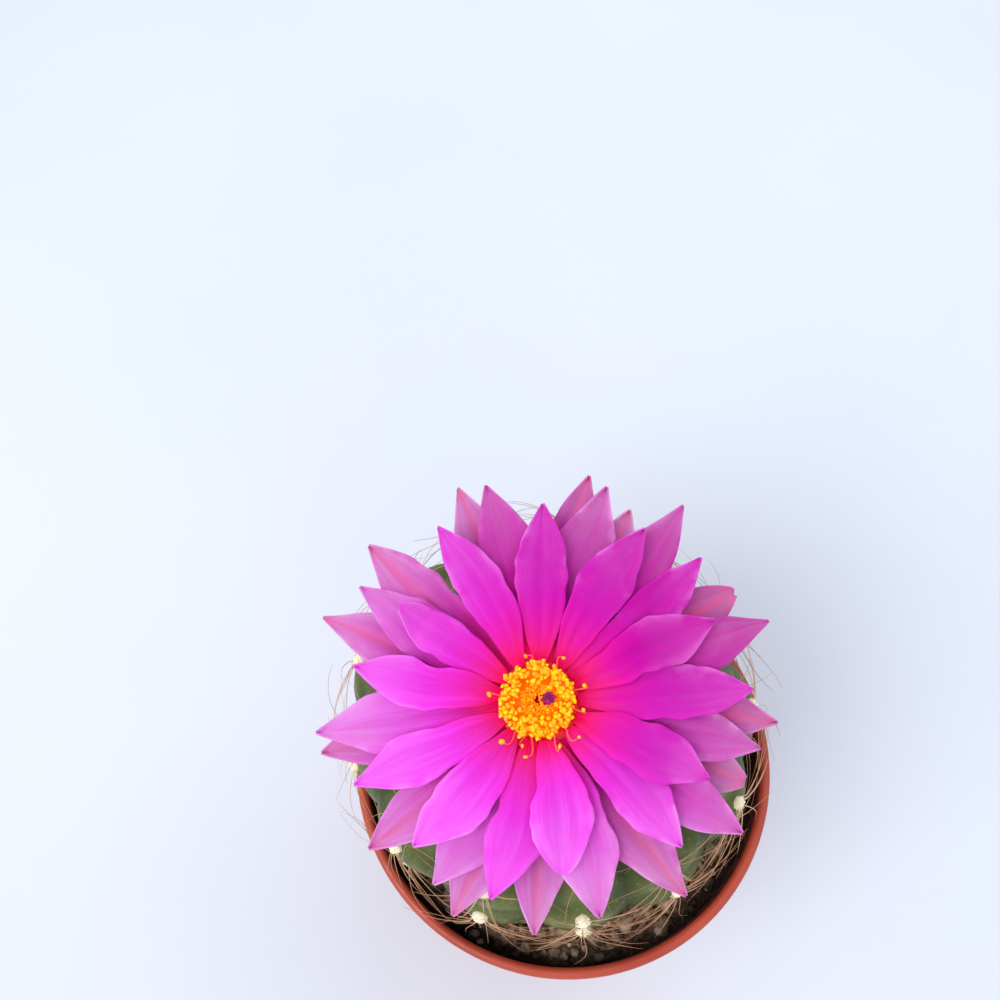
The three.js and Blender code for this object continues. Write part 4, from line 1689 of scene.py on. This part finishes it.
@dataclass
class FlowerTube:
    """The short green tube below the petals, with scales, wool and bristles."""

    bloom: Bloom
    foot_radius: float = 3.4
    top_radius: float = 5.2
    rows: int = 2
    per_row: int = 9
    scale_length: float = 1.5
    scale_width: float = 1.1
    scale_spread: float = 1.0
    scale_sunk: float = 0.15
    scale_cup: float = 0.25
    scale_thickness: float = 0.25
    wool_per_scale: int = 26
    wool_length: Span = (0.7, 1.6)
    wool_radius: float = 0.05
    wool_tip: float = 0.5
    bristles_per_scale: int = 2
    bristle_length: Span = (1.8, 2.6)
    bristle_radius: float = 0.08
    bristle_tip: float = 0.2
    tuft_spread: float = 0.12
    tuft_rise: Span = (0.1, 0.8)
    tuft_curl: float = 0.5
    tuft_foot: Span = (-0.1, 0.5)
    tuft_sunk: float = 0.1
    tuft_out: float = 0.85

    def radius(self, height: float) -> float:
        """The tube's radius at a height."""
        return mix(self.foot_radius, self.top_radius, smoothstep(height, 0, self.bloom.tube_height))

    def scales(self, bm: Mesh) -> list[Point]:
        """Add the pointed scales.

        Args:
            bm: The tube's mesh.

        Returns:
            Each scale's angle and height.
        """
        spots = []
        for row in range(self.rows):
            for index in range(self.per_row):
                height = self.bloom.tube_height * (row + 1.3) / (self.rows + 2)
                spots.append(((index + row / 2) * 2 * math.pi / self.per_row, height))
        for angle, height in spots:
            made = bmesh.ops.create_grid(bm, x_segments=8, y_segments=4, size=0.5)
            for vertex in made["verts"]:
                share = vertex.co.x + 0.5
                half = self.scale_width * (1 - share**1.6) * vertex.co.y
                cupped = self.scale_cup * (2 * vertex.co.y) ** 2
                out = self.radius(height) - self.scale_sunk + self.scale_spread * share**1.3 - cupped
                vertex.co = Vector((
                    out * math.cos(angle) - half * math.sin(angle),
                    out * math.sin(angle) + half * math.cos(angle),
                    height + self.scale_length * share,
                ))
        return spots

    def build(self, skin: Material, wool: Material, bristle: Material) -> None:
        """Build the tube.

        Args:
            skin: The material of the tube and its scales.
            wool: The material of the wool.
            bristle: The material of the bristles.
        """
        top = self.bloom.tube_height
        wall = [(self.radius(top * i / 16), top * i / 16) for i in range(17)]
        tube = turned([(0, 0), *wall, (0, top)], 64)
        placed("flower_tube_wall", "flower_tube", tube, skin, self.bloom.place, crease=40)
        scales = bmesh.new()
        spots = self.scales(scales)
        blades = finished("flower_tube_scales", scales, skin, self.bloom.place, crease=80)
        thicken(blades, self.scale_thickness)
        declare(blades, "flower_tube")
        draw = Draw(SEED + 15)
        hairs = Strands(3, 3)
        bristles = Strands(3, 4)
        for angle, height in spots:
            for _ in range(self.wool_per_scale):
                route = self.tuft_route(draw, angle, height, draw.between(*self.wool_length))
                hairs.add(route, self.wool_radius, self.wool_tip, draw.between(0, 1))
            for _ in range(self.bristles_per_scale):
                route = self.tuft_route(draw, angle, height, draw.between(*self.bristle_length))
                bristles.add(route, self.bristle_radius, self.bristle_tip, draw.between(0, 1))
        placed("flower_tube_wool", "flower_tube", hairs.bm, wool, self.bloom.place)
        placed("flower_tube_bristles", "flower_tube", bristles.bm, bristle, self.bloom.place)

    def tuft_route(self, draw: Draw, angle: float, height: float, length: float) -> Route:
        """The route of a hair or bristle that leaves the tube above a scale.

        Args:
            draw: The row of draws.
            angle: The scale's angle.
            height: The scale's height.
            length: The strand's length.

        Returns:
            The route.
        """
        aim = angle + draw.between(-self.tuft_spread, self.tuft_spread)
        rise = draw.between(*self.tuft_rise)
        curl = draw.between(-self.tuft_curl, self.tuft_curl)
        foot = height + draw.between(*self.tuft_foot)

        def route(share: float) -> Vector:
            """Lean the strand out and up.

            Args:
                share: The share of its length.

            Returns:
                The strand's centre there.
            """
            out = self.radius(foot) - self.tuft_sunk + self.tuft_out * length * share
            bend = aim + curl * share * length / 6
            return Vector((out * math.cos(bend), out * math.sin(bend), foot + rise * length * share**1.5))

        return route


# Petals

class Tip(Enum):
    """How a petal ends."""

    POINTED = 0.03
    BLUNT = 0.2
    CURLED = 0.12


@dataclass(frozen=True)
class Layer:
    """One layer of petals.

    Each petal has the bearing of its tip clockwise from the back, its reach, and how far it bows
    aside on the way there, anticlockwise above 0.
    """

    name: str
    root: float
    rise: float
    tip: float
    width: float
    petals: tuple[tuple[float, float, float], ...]
    tips: dict[float, Tip] = field(default_factory=dict)
    broad: dict[float, float] = field(default_factory=dict)


@dataclass
class Petals:
    """All the petals in their three layers, and the cup that they grow from."""

    bloom: Bloom
    thickness: float = 0.22
    along: int = 40
    across: int = 20
    root_width: float = 0.14
    root_swell: float = 0.78
    widest_at: float = 0.62
    width_share: Span = (0.95, 1.08)
    shoulder: Span = (2.0, 2.6)
    level_from: float = 0.4
    fold: Span = (0.25, 0.75)
    ripple: float = 0.15
    ripples: float = 7
    ruffle: float = 0.16
    ruffles: float = 15
    uneven: float = 0.24
    ragged: float = 2.5
    ragged_from: float = 0.85
    pinch: float = 0.1
    # Where the sun stands, whose painted light makes the petals that face it brighter and paler, and how much
    # that varies from petal to petal
    sun_bearing: float = math.radians(225)
    sun_spread: float = 0.3
    pleat: float = 0.085
    pleats: float = 9
    roll: Span = (-0.03, 0.03)
    stack: float = 0.5
    crease_depth: float = 0.16
    crease_width: float = 0.2
    curl_from: float = 0.72
    curl_height: float = 3.2
    curl_back: float = 0.8
    cup_floor: float = 5.1
    cup_wall: Outline = ((4.2, 5.1), (6.0, 6.6), (5.9, 7.2), (4.9, 7.4))
    well_radius: float = 3.4
    well_floor: float = 6.1
    rim_round: float = 0.25
    rim_angle: float = 0.5
    outer: Layer = Layer("petals_outer", 6.7, 0.7, -1.0, 7.4, (
        (13, 33, 0.8), (26, 30, -0.2), (61, 31.5, 0), (95, 32.5, 0.5), (111, 29.5, 0), (143, 31.5, -0.4),
        (182, 30, 0.3), (203, 30, 0.7), (230, 30, 0.6), (257, 30.5, 0), (291, 32.5, 0.1), (312, 32.5, 0.3),
        (339, 32.5, -0.4),
    ), {61: Tip.BLUNT, 111: Tip.BLUNT})
    middle: Layer = Layer("petals_middle", 7.05, 1.65, -0.2, 7.4, (
        (18, 31.5, 0.7), (37, 34, -0.5), (71, 33.5, -0.4), (102, 30, 0), (123, 31.5, 0), (165, 28.5, 0.7),
        (211, 27.5, 1.2), (262, 30.5, 0), (302, 29.5, 0.6), (346, 31, -0.9),
    ))
    inner: Layer = Layer("petals_inner", 7.3, 2.7, 0.6, 6.9, (
        (1, 27, 0), (32, 27.5, 0.9), (49, 29.5, -1.2), (66, 26, 0.4), (87, 28.5, 0), (115, 24.2, 0.3),
        (136, 26, 0.8), (173, 22, 0.8), (195, 26, 1.2), (222, 25, 1.0), (246, 27, 0.2), (280, 25.5, 0.8),
        (303, 23.5, 0.3), (329, 27.5, -1.2),
    ), {173: Tip.BLUNT, 303: Tip.CURLED}, {195: 1.12, 173: 1.1, 222: 1.06, 303: 0.85})

    def half_width(self, share: float, tip: Tip, shoulder: float) -> float:
        """The share of a petal's full half width.

        Args:
            share: The share of its length.
            tip: How it ends.
            shoulder: How long it stays broad past its widest place.

        Returns:
            The share of the half width there.
        """
        if share < self.widest_at:
            swell = math.sin(math.pi / 2 * share / self.widest_at) ** self.root_swell
            return self.root_width + (1 - self.root_width) * swell
        late = (share - self.widest_at) / (1 - self.widest_at)
        pinch = self.pinch * math.sin(math.pi * late**2) if tip is Tip.POINTED else 0.0
        return 1 - (1 - tip.value) * late**shoulder - pinch

    def petal(self, bm: Mesh, layer: Layer, index: int, draw: Draw) -> None:
        """Add one petal. Every second petal of a layer lies over its neighbours.

        Args:
            bm: The layer's mesh.
            layer: The layer.
            index: Which of the layer's petals it is.
            draw: The row of draws.
        """
        bearing, reach, bow = layer.petals[index]
        tint = bm.verts.layers.float[TINT]
        sun = bm.verts.layers.float[SUN]
        sunward = Vector((math.sin(self.sun_bearing), math.cos(self.sun_bearing), 0))
        tip = layer.tips.get(bearing, Tip.POINTED)
        turn = math.radians(bearing)
        outward = Vector((math.sin(turn), math.cos(turn), 0))
        aside = UP.cross(outward)
        drawn = draw.between(*self.width_share)
        width = layer.width * layer.broad.get(bearing, drawn)
        shoulder = draw.between(*self.shoulder)
        fold = draw.between(*self.fold)
        roll = draw.between(*self.roll)
        wave = draw.between(0, 2 * math.pi)
        made = bmesh.ops.create_grid(
            bm, x_segments=self.along, y_segments=self.across, size=0.5, calc_uvs=True
        )
        for vertex in made["verts"]:
            share = vertex.co.x + 0.5
            over = vertex.co.y * 2
            swell = math.sin(math.pi * share)
            edge = Vector((share * 4, 1.5 * math.copysign(1, over), wave))
            uneven = 1 + self.uneven * swell * (noise.noise(edge) + 0.5 * noise.noise(edge * 2.6))
            off = width / 2 * self.half_width(share, tip, shoulder) * over * uneven
            climb = 1 - (1 - min(1, share / self.level_from)) ** 2
            bend = (2 * max(0, share - 0.5)) ** 2
            ripple = self.ripple * math.sin(self.ripples * share + wave) * over * share
            ruffle = self.ruffle * math.sin(self.ruffles * share + 2.3 * wave) * over**3 * share
            pleat = self.pleat * math.sin(self.pleats * over + wave + 1.5 * share) * swell
            crease = self.crease_depth * math.exp(-((over / self.crease_width) ** 2)) * swell
            curl = smoothstep(share, self.curl_from, 1) if tip is Tip.CURLED else 0.0
            ragged = self.ragged * tip.value * noise.noise(Vector((over, wave, 0)))
            torn = ragged * smoothstep(share, self.ragged_from, 1)
            length = mix(self.bloom.petal_root, reach, share) + torn - self.curl_back * curl
            lift = self.stack * (index % 2) * climb + self.curl_height * curl
            height = layer.root + layer.rise * climb + layer.tip * bend + lift
            height += fold * over**2 * share + ripple + ruffle + pleat + roll * off - crease
            flat = outward * length + aside * (off + bow * swell)
            vertex.co = flat + UP * height
            vertex[tint] = wave / (2 * math.pi)
            # How far this spot faces the sun, which the petal's finish paints as light and shade
            faces_sun = 0.5 + 0.5 * flat.normalized().dot(sunward)
            vertex[sun] = min(1.0, max(0.0, faces_sun + self.sun_spread * (vertex[tint] - 0.5)))

    def layer_piece(self, layer: Layer, tissue: Material, draw: Draw) -> None:
        """Build one layer.

        Args:
            layer: The layer.
            tissue: Its material.
            draw: The row of draws.
        """
        bm = bmesh.new()
        bm.verts.layers.float.new(TINT)
        bm.verts.layers.float.new(SUN)
        bm.loops.layers.uv.new("sheet")
        for index in range(len(layer.petals)):
            self.petal(bm, layer, index, draw)
        piece = finished(layer.name, bm, tissue, self.bloom.place, crease=80)
        thicken(piece, self.thickness)
        declare(piece, "petals")

    def cup(self, skin: Material) -> None:
        """Build the cup that the petals grow from.

        Args:
            skin: Its material.
        """
        well = [(self.well_radius, self.well_floor), (0, self.well_floor)]
        bm = turned([(0, self.cup_floor), *self.cup_wall, *well], 72)
        rim = [edge for edge in bm.edges if edge.is_manifold and edge.calc_face_angle(0) > self.rim_angle]
        bmesh.ops.bevel(
            bm, geom=rim, offset=self.rim_round, segments=3, profile=0.5, affect="EDGES", material=-1
        )
        placed("petal_cup", "petals", bm, skin, self.bloom.place, crease=60)

    def build(self, finishes: dict[str, Material], skin: Material) -> None:
        """Build the cup and the three layers.

        Args:
            finishes: Each layer's material by the layer's name.
            skin: The cup's material.
        """
        self.cup(skin)
        draw = Draw(SEED + 2)
        for layer in (self.outer, self.middle, self.inner):
            self.layer_piece(layer, finishes[layer.name], draw)


# Stamens and pistil

@dataclass(frozen=True)
class Habit:
    """How one kind of stamen grows: how far it bows outwards and aside, its bead and its thickness."""

    bow: Span
    swerve: float
    bead_share: float
    bead_radius: float
    radius: float


@dataclass
class Stamens:
    """The dense ring of filaments, each with a pollen bead."""

    bloom: Bloom
    stigma: Vector
    clear_of_stigma: float = 1.25
    count: int = 380
    shift: float = -0.55
    foot_radius: Span = (2.1, 4.7)
    head_radius: Span = (2.3, 4.9)
    top: Span = (12.2, 10.8)
    foot: float = 7.4
    well_count: int = 90
    well_foot_radius: Span = (1.5, 3.3)
    well_head_radius: Span = (0.1, 2.2)
    well_foot: float = 8.9
    well_top: Span = (10.2, 11.2)
    jitter: float = 0.4
    height_jitter: float = 1.6
    filament_tip: float = 0.7
    bead_size: Span = (0.65, 1.25)
    bead_shape: Point = (0.85, 1.3)
    bead_tilt: float = 1.2
    bead_rough: float = 0.4
    stray_foot: float = 8.4
    stray_top: Span = (10.0, 11.2)
    upright: Habit = Habit((0.0, 0.4), 0.2, 0.9, 0.3, 0.12)
    sunken: Habit = Habit((-0.8, 0.6), 1.2, 0.06, 0.26, 0.2)
    stray: Habit = Habit((0.5, 1.3), 1.3, 1.0, 0.28, 0.11)
    # The stray stamens' bearings clockwise from the back, and their reach
    strays: Outline = (
        (341, 6.2), (29, 6.4), (72, 6.1), (103, 5.8), (134, 7.0),
        (158, 6.5), (196, 7.7), (203, 6.5), (224, 7.6), (276, 7.0),
    )
    core: Outline = ((0.85, 6.4), (2.9, 6.4), (4.4, 8.5), (4.1, 9.3), (2.6, 9.6), (0.85, 9.4))

    def add(
        self, filaments: Strands, beads: Lumps, draw: Draw, foot: Vector, head: Vector, habit: Habit
    ) -> None:
        """Add one stamen.

        Args:
            filaments: The filaments so far.
            beads: The pollen beads so far.
            draw: The row of draws.
            foot: Where it starts.
            head: Where its bead is.
            habit: How it grows.
        """
        from_stigma = Vector((head.x - self.stigma.x, head.y - self.stigma.y, 0))
        if from_stigma.length < self.clear_of_stigma:
            head = head + from_stigma.normalized() * (self.clear_of_stigma - from_stigma.length)
        out = Vector((head.x, head.y, 0)).normalized()
        bend = out * draw.between(*habit.bow) + UP.cross(out) * draw.between(-habit.swerve, habit.swerve)

        def route(share: float) -> Vector:
            """The filament's centre at a share of its length."""
            return foot.lerp(head, share) + bend * math.sin(math.pi * share)

        filaments.add(route, habit.radius, self.filament_tip, draw.between(0, 1))
        if draw.between(0, 1) > habit.bead_share:
            return
        size = habit.bead_radius * draw.between(*self.bead_size)
        tilts = [draw.between(-self.bead_tilt, self.bead_tilt) for _ in range(2)]
        turn = Euler((*tilts, draw.between(0, 6))).to_matrix().to_4x4()
        grow = Matrix.Diagonal((size, size * self.bead_shape[0], size * self.bead_shape[1], 1))
        beads.add(Matrix.Translation(head) @ turn @ grow, draw.between(0, 1), self.bead_rough)

    def build(self, filament: Material, stray: Material, bead: Material, base: Material) -> None:
        """Build all the stamens.

        Args:
            filament: The material of the filaments.
            stray: The material of the filaments that bend out over the petals.
            bead: The material of the beads.
            base: The material of the ring that the filaments stand out of.
        """
        draw = Draw(SEED + 3)
        filaments = Strands(4, 5)
        strays = Strands(5, 9)
        beads = Lumps(8, 6)
        moved = Vector((self.shift, 0, 0))
        for index in range(self.count):
            share = math.sqrt((index + 0.5) / self.count)
            angle = index * GOLDEN_ANGLE + draw.between(-self.jitter, self.jitter)
            out = Vector((math.cos(angle), math.sin(angle), 0))
            foot = out * mix(*self.foot_radius, share) + UP * self.foot
            head = out * (mix(*self.head_radius, share) + draw.between(-self.jitter, self.jitter)) + moved
            head.z = mix(*self.top, share**2) + draw.between(-self.jitter, self.jitter) * self.height_jitter
            self.add(filaments, beads, draw, foot, head, self.upright)
        for index in range(self.well_count):
            share = math.sqrt((index + 0.5) / self.well_count)
            angle = index * GOLDEN_ANGLE
            out = Vector((math.cos(angle), math.sin(angle), 0))
            foot = out * mix(*self.well_foot_radius, share) + UP * self.well_foot
            head = out * mix(*self.well_head_radius, share) + moved + UP * mix(*self.well_top, share)
            self.add(filaments, beads, draw, foot, head, self.sunken)
        for bearing, reach in self.strays:
            turn = math.radians(bearing)
            out = Vector((math.sin(turn), math.cos(turn), 0))
            foot = out * self.foot_radius[1] + UP * self.stray_foot
            head = out * reach + UP * draw.between(*self.stray_top)
            self.add(strays, beads, draw, foot, head, self.stray)
        placed("filaments", "stamens", filaments.bm, filament, self.bloom.place)
        placed("stray_filaments", "stamens", strays.bm, stray, self.bloom.place)
        placed("pollen_beads", "stamens", beads.bm, bead, self.bloom.place)
        ring = turned([*self.core, self.core[0]], 48)
        placed("filament_ring", "stamens", ring, base, self.bloom.place, crease=60)


@dataclass
class Pistil:
    """The style with its tuft of stigma lobes."""

    bloom: Bloom
    foot: float = 6.4
    top: float = 12
    lean: Point = (1.0, 0.15)
    style_radius: float = 0.5
    style_tip: float = 0.9
    style_tint: float = 0.3
    lobes: int = 17
    lobe_length: float = 1.15
    lobe_radius: float = 0.32
    lobe_tip: float = 0.55
    lobe_bulge: float = 0.75
    lobe_jitter: float = 0.15
    lobe_sunk: float = 0.35
    spread: Span = (0.26, 0.7)
    fuzz_per_lobe: int = 9
    fuzz_radius: Span = (0.07, 0.12)
    fuzz_off: float = 0.85

    def style_point(self, share: float) -> Vector:
        """The style's centre at a share of its length."""
        return Vector((self.lean[0] * share**2, self.lean[1] * share**2, mix(self.foot, self.top, share)))

    def build(self, tissue: Material) -> None:
        """Build the pistil.

        Args:
            tissue: Its material.
        """
        style = Strands(12, 12)
        style.add(self.style_point, self.style_radius, self.style_tip, self.style_tint)
        placed("style", "pistil", style.bm, tissue, self.bloom.place)
        draw = Draw(SEED + 4)
        lobes = Strands(7, 7)
        fuzz = Lumps(6, 4)
        head = self.style_point(1)
        for index in range(self.lobes):
            angle = index * 2 * math.pi / self.lobes + draw.between(-self.lobe_jitter, self.lobe_jitter)
            spread = self.spread[index % 2]
            out = Vector((math.cos(angle), math.sin(angle), 0))

            def route(share: float, out: Vector = out, spread: float = spread) -> Vector:
                """The lobe's centre at a share of its length."""
                bulge = math.sin(self.lobe_bulge * math.pi * share)
                return head + out * (spread * bulge) + UP * (self.lobe_length * share - self.lobe_sunk)

            lobes.add(route, self.lobe_radius, self.lobe_tip, draw.between(0, 1))
            for step in range(self.fuzz_per_lobe):
                share = (step + 1.5) / (self.fuzz_per_lobe + 1)
                way = Vector([draw.between(-1, 1) for _ in range(3)]).normalized()
                spot = route(share) + way * self.lobe_radius * self.fuzz_off
                size = Matrix.Scale(draw.between(*self.fuzz_radius), 4)
                fuzz.add(Matrix.Translation(spot) @ size, draw.between(0, 1))
        placed("stigma_lobes", "pistil", lobes.bm, tissue, self.bloom.place)
        placed("stigma_fuzz", "pistil", fuzz.bm, tissue, self.bloom.place)


# Studio

@dataclass(frozen=True)
class SoftLight:
    """A square soft light that looks at the plant."""

    name: str
    stands: tuple[float, float, float]
    size: float
    power: float
    colour: tuple[float, float, float]


@dataclass
class Studio:
    """The pale floor, the soft lights and the camera at the photograph's angle."""

    floor_size: float = 3000
    floor_light: Colour = paint(217, 223, 234)
    floor_dark: Colour = paint(212, 218, 231)
    sky: Colour = (0.92, 0.95, 1.0, 1.0)
    sky_strength: float = 0.82
    lens: float = 37.8
    sensor: float = 36.0
    camera: tuple[float, float, float] = (-9.9, -36.7, 220.8)
    camera_tip: float = math.radians(26)
    aim: tuple[float, float, float] = (0.0, 0.0, 0.06)
    lights: tuple[SoftLight, ...] = (
        SoftLight("key", (-0.52, -0.4, 0.9), 0.6, 6.4, (1.0, 0.98, 0.95)),
        SoftLight("fill", (0.4, 0.5, 0.7), 0.8, 2.2, (0.95, 0.97, 1.0)),
    )

    def floor(self, effects: Effects) -> None:
        """Lay the floor.

        Args:
            effects: The shared effects.
        """
        material, nodes, shader = new_material("floor_paper", Roughness=0.7, Specular_IOR_Level=0.2)
        patch = nodes.effect(effects.mottle, {"Place": nodes.place(), "Patches per metre": 6.0})
        nodes.feed(shader.inputs["Base Color"], nodes.blend(patch, self.floor_dark, self.floor_light))
        bm = bmesh.new()
        bmesh.ops.create_grid(bm, x_segments=1, y_segments=1, size=self.floor_size / 2)
        finished("floor", bm, material)

    def build(self, effects: Effects) -> None:
        """Set up the floor, the lights and the camera.

        Args:
            effects: The shared effects.
        """
        self.floor(effects)
        scene = bpy.context.scene
        scene.view_settings.view_transform = "Standard"
        scene.world = bpy.data.worlds.new("soft_sky")
        scene.world.use_nodes = True
        sky = scene.world.node_tree.nodes["Background"]
        sky.inputs[0].default_value = self.sky
        sky.inputs[1].default_value = self.sky_strength
        for light in self.lights:
            lamp = bpy.data.lights.new(light.name, "AREA")
            lamp.size = light.size
            lamp.energy = light.power
            lamp.color = light.colour
            holder = bpy.data.objects.new(light.name, lamp)
            holder.location = light.stands
            holder.rotation_euler = (Vector(self.aim) - holder.location).to_track_quat("-Z", "Y").to_euler()
            scene.collection.objects.link(holder)
        lens = bpy.data.cameras.new("camera")
        lens.lens = self.lens
        lens.sensor_width = self.sensor
        lens.clip_start = 0.01
        camera = bpy.data.objects.new("camera", lens)
        camera.location = Vector(self.camera) * MM
        camera.rotation_euler = (self.camera_tip, 0, 0)
        scene.collection.objects.link(camera)
        scene.camera = camera


def petal_finishes(effects: Effects) -> dict[str, Material]:
    """The petals' materials, paler and browner from the inner layer to the outer.

    Args:
        effects: The shared effects.

    Returns:
        Each layer's material by the layer's name.
    """
    crimson = paint(255, 0, 104)
    # Each layer's shaded and sunny runs are painted shade and painted light
    inner = PetalTissue(
        "petal_inner", wedge=paint(255, 18, 88), wedge_end=0.05,
        shaded=PetalRun(paint(230, 2, 156), paint(200, 0, 160), paint(184, 8, 152), paint(182, 52, 154)),
        sunny=PetalRun(paint(255, 50, 200), paint(255, 60, 238), paint(255, 90, 250), paint(244, 116, 240)),
        edge=paint(255, 160, 248), edge_share=0.4,
        midrib=paint(206, 40, 176), midrib_share=0.0, point_share=0.1,
    )
    middle = PetalTissue(
        "petal_middle", wedge=crimson, wedge_end=0.13,
        shaded=PetalRun(paint(214, 0, 138), paint(182, 8, 146), paint(174, 54, 144), paint(164, 100, 142)),
        sunny=PetalRun(paint(255, 44, 190), paint(252, 70, 230), paint(240, 110, 232), paint(214, 142, 206)),
        edge=paint(246, 176, 240), edge_share=0.45,
        midrib=paint(208, 76, 164), midrib_share=0.12, point_share=0.2,
    )
    outer = PetalTissue(
        "petal_outer", wedge=crimson, wedge_end=0.15,
        shaded=PetalRun(paint(206, 0, 122), paint(178, 34, 136), paint(172, 76, 142), paint(168, 116, 146)),
        sunny=PetalRun(paint(246, 50, 176), paint(228, 80, 194), paint(216, 116, 200), paint(206, 148, 190)),
        edge=paint(238, 184, 226), edge_share=0.45,
        midrib=paint(218, 96, 132), midrib_share=0.55, point_share=0.4,
    )
    return {
        "petals_inner": inner.build(effects),
        "petals_middle": middle.build(effects),
        "petals_outer": outer.build(effects),
    }


def main() -> None:
    """Build the studio, then the pot, soil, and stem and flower."""
    logging.basicConfig(level=logging.INFO, format="%(message)s")
    effects = Effects()
    Studio().build(effects)

    pot = Pot()
    shape = StemShape()
    bloom = Bloom()
    cream = Fibre(
        "areole_wool", paint(255, 246, 212), paint(255, 252, 228), paint(255, 254, 240),
        other=paint(255, 244, 214), roughness=0.9,
    )
    horn = Fibre(
        "spine_horn", paint(250, 222, 182), paint(238, 192, 150), paint(206, 142, 104),
        other=paint(160, 104, 76), roughness=0.4,
    )
    root = Fibre(
        "peat_fibre", paint(92, 66, 44), paint(120, 90, 62), paint(140, 110, 80),
        other=paint(60, 42, 30), roughness=0.9,
    )
    crumb = Earth("peat_crumb", paint(66, 46, 34), paint(196, 166, 140), grains=1200.0, depth=0.2)
    # The pale grains take less of the painted shade by the wall
    grain = Earth(
        "pale_grain", paint(140, 120, 100), paint(220, 204, 184), painted_wall_shade_share=0.75, grains=900.0, depth=0.15
    )

    pot.build(PotPlastic().build(effects))
    Soil(pot, shape).build(
        Earth().build(effects), crumb.build(effects), grain.build(effects), root.build(effects)
    )
    wool = cream.build(effects)
    Stem(shape, bloom, pot).build(StemSkin().build(effects), wool, horn.build(effects))

    tube_skin = SoftTissue("tube_skin", paint(88, 92, 48), paint(150, 110, 92), patches=500.0, roughness=0.55)
    brown = Fibre(
        "tube_bristle", paint(120, 74, 50), paint(120, 70, 46), paint(84, 44, 30), other=paint(150, 100, 70)
    )
    FlowerTube(bloom).build(tube_skin.build(effects), wool, brown.build(effects))
    cup_skin = SoftTissue("cup_skin", paint(206, 16, 50), paint(240, 64, 56), patches=400.0, roughness=0.5)
    Petals(bloom).build(petal_finishes(effects), cup_skin.build(effects))
    # The filaments, the pollen and the ring carry a painted glow as though lit through
    filament = Fibre(
        "filament", paint(255, 96, 0), paint(255, 150, 0), paint(255, 190, 0),
        other=paint(255, 130, 0), roughness=0.45, glow=0.9, painted_glow=0.25,
    )
    stray = Fibre(
        "stray_filament", paint(255, 120, 110), paint(255, 136, 108), paint(255, 150, 90),
        other=paint(255, 110, 100), roughness=0.45, glow=0.5,
    )
    bead = SoftTissue(
        "pollen", paint(255, 148, 0), paint(255, 232, 0),
        patches=1400.0, roughness=0.55, glow=0.7, painted_glow=0.12,
    )
    ring = SoftTissue(
        "filament_base", paint(255, 120, 0), paint(255, 160, 0), roughness=0.5, glow=0.9, painted_glow=0.25
    )
    lobe = SoftTissue("stigma", paint(96, 0, 60), paint(196, 0, 128), patches=1600.0, roughness=0.6)
    pistil = Pistil(bloom)
    stamens = Stamens(bloom, pistil.style_point(1))
    stamens.build(filament.build(effects), stray.build(effects), bead.build(effects), ring.build(effects))
    pistil.build(lobe.build(effects))


if __name__ == "__main__":
    main()
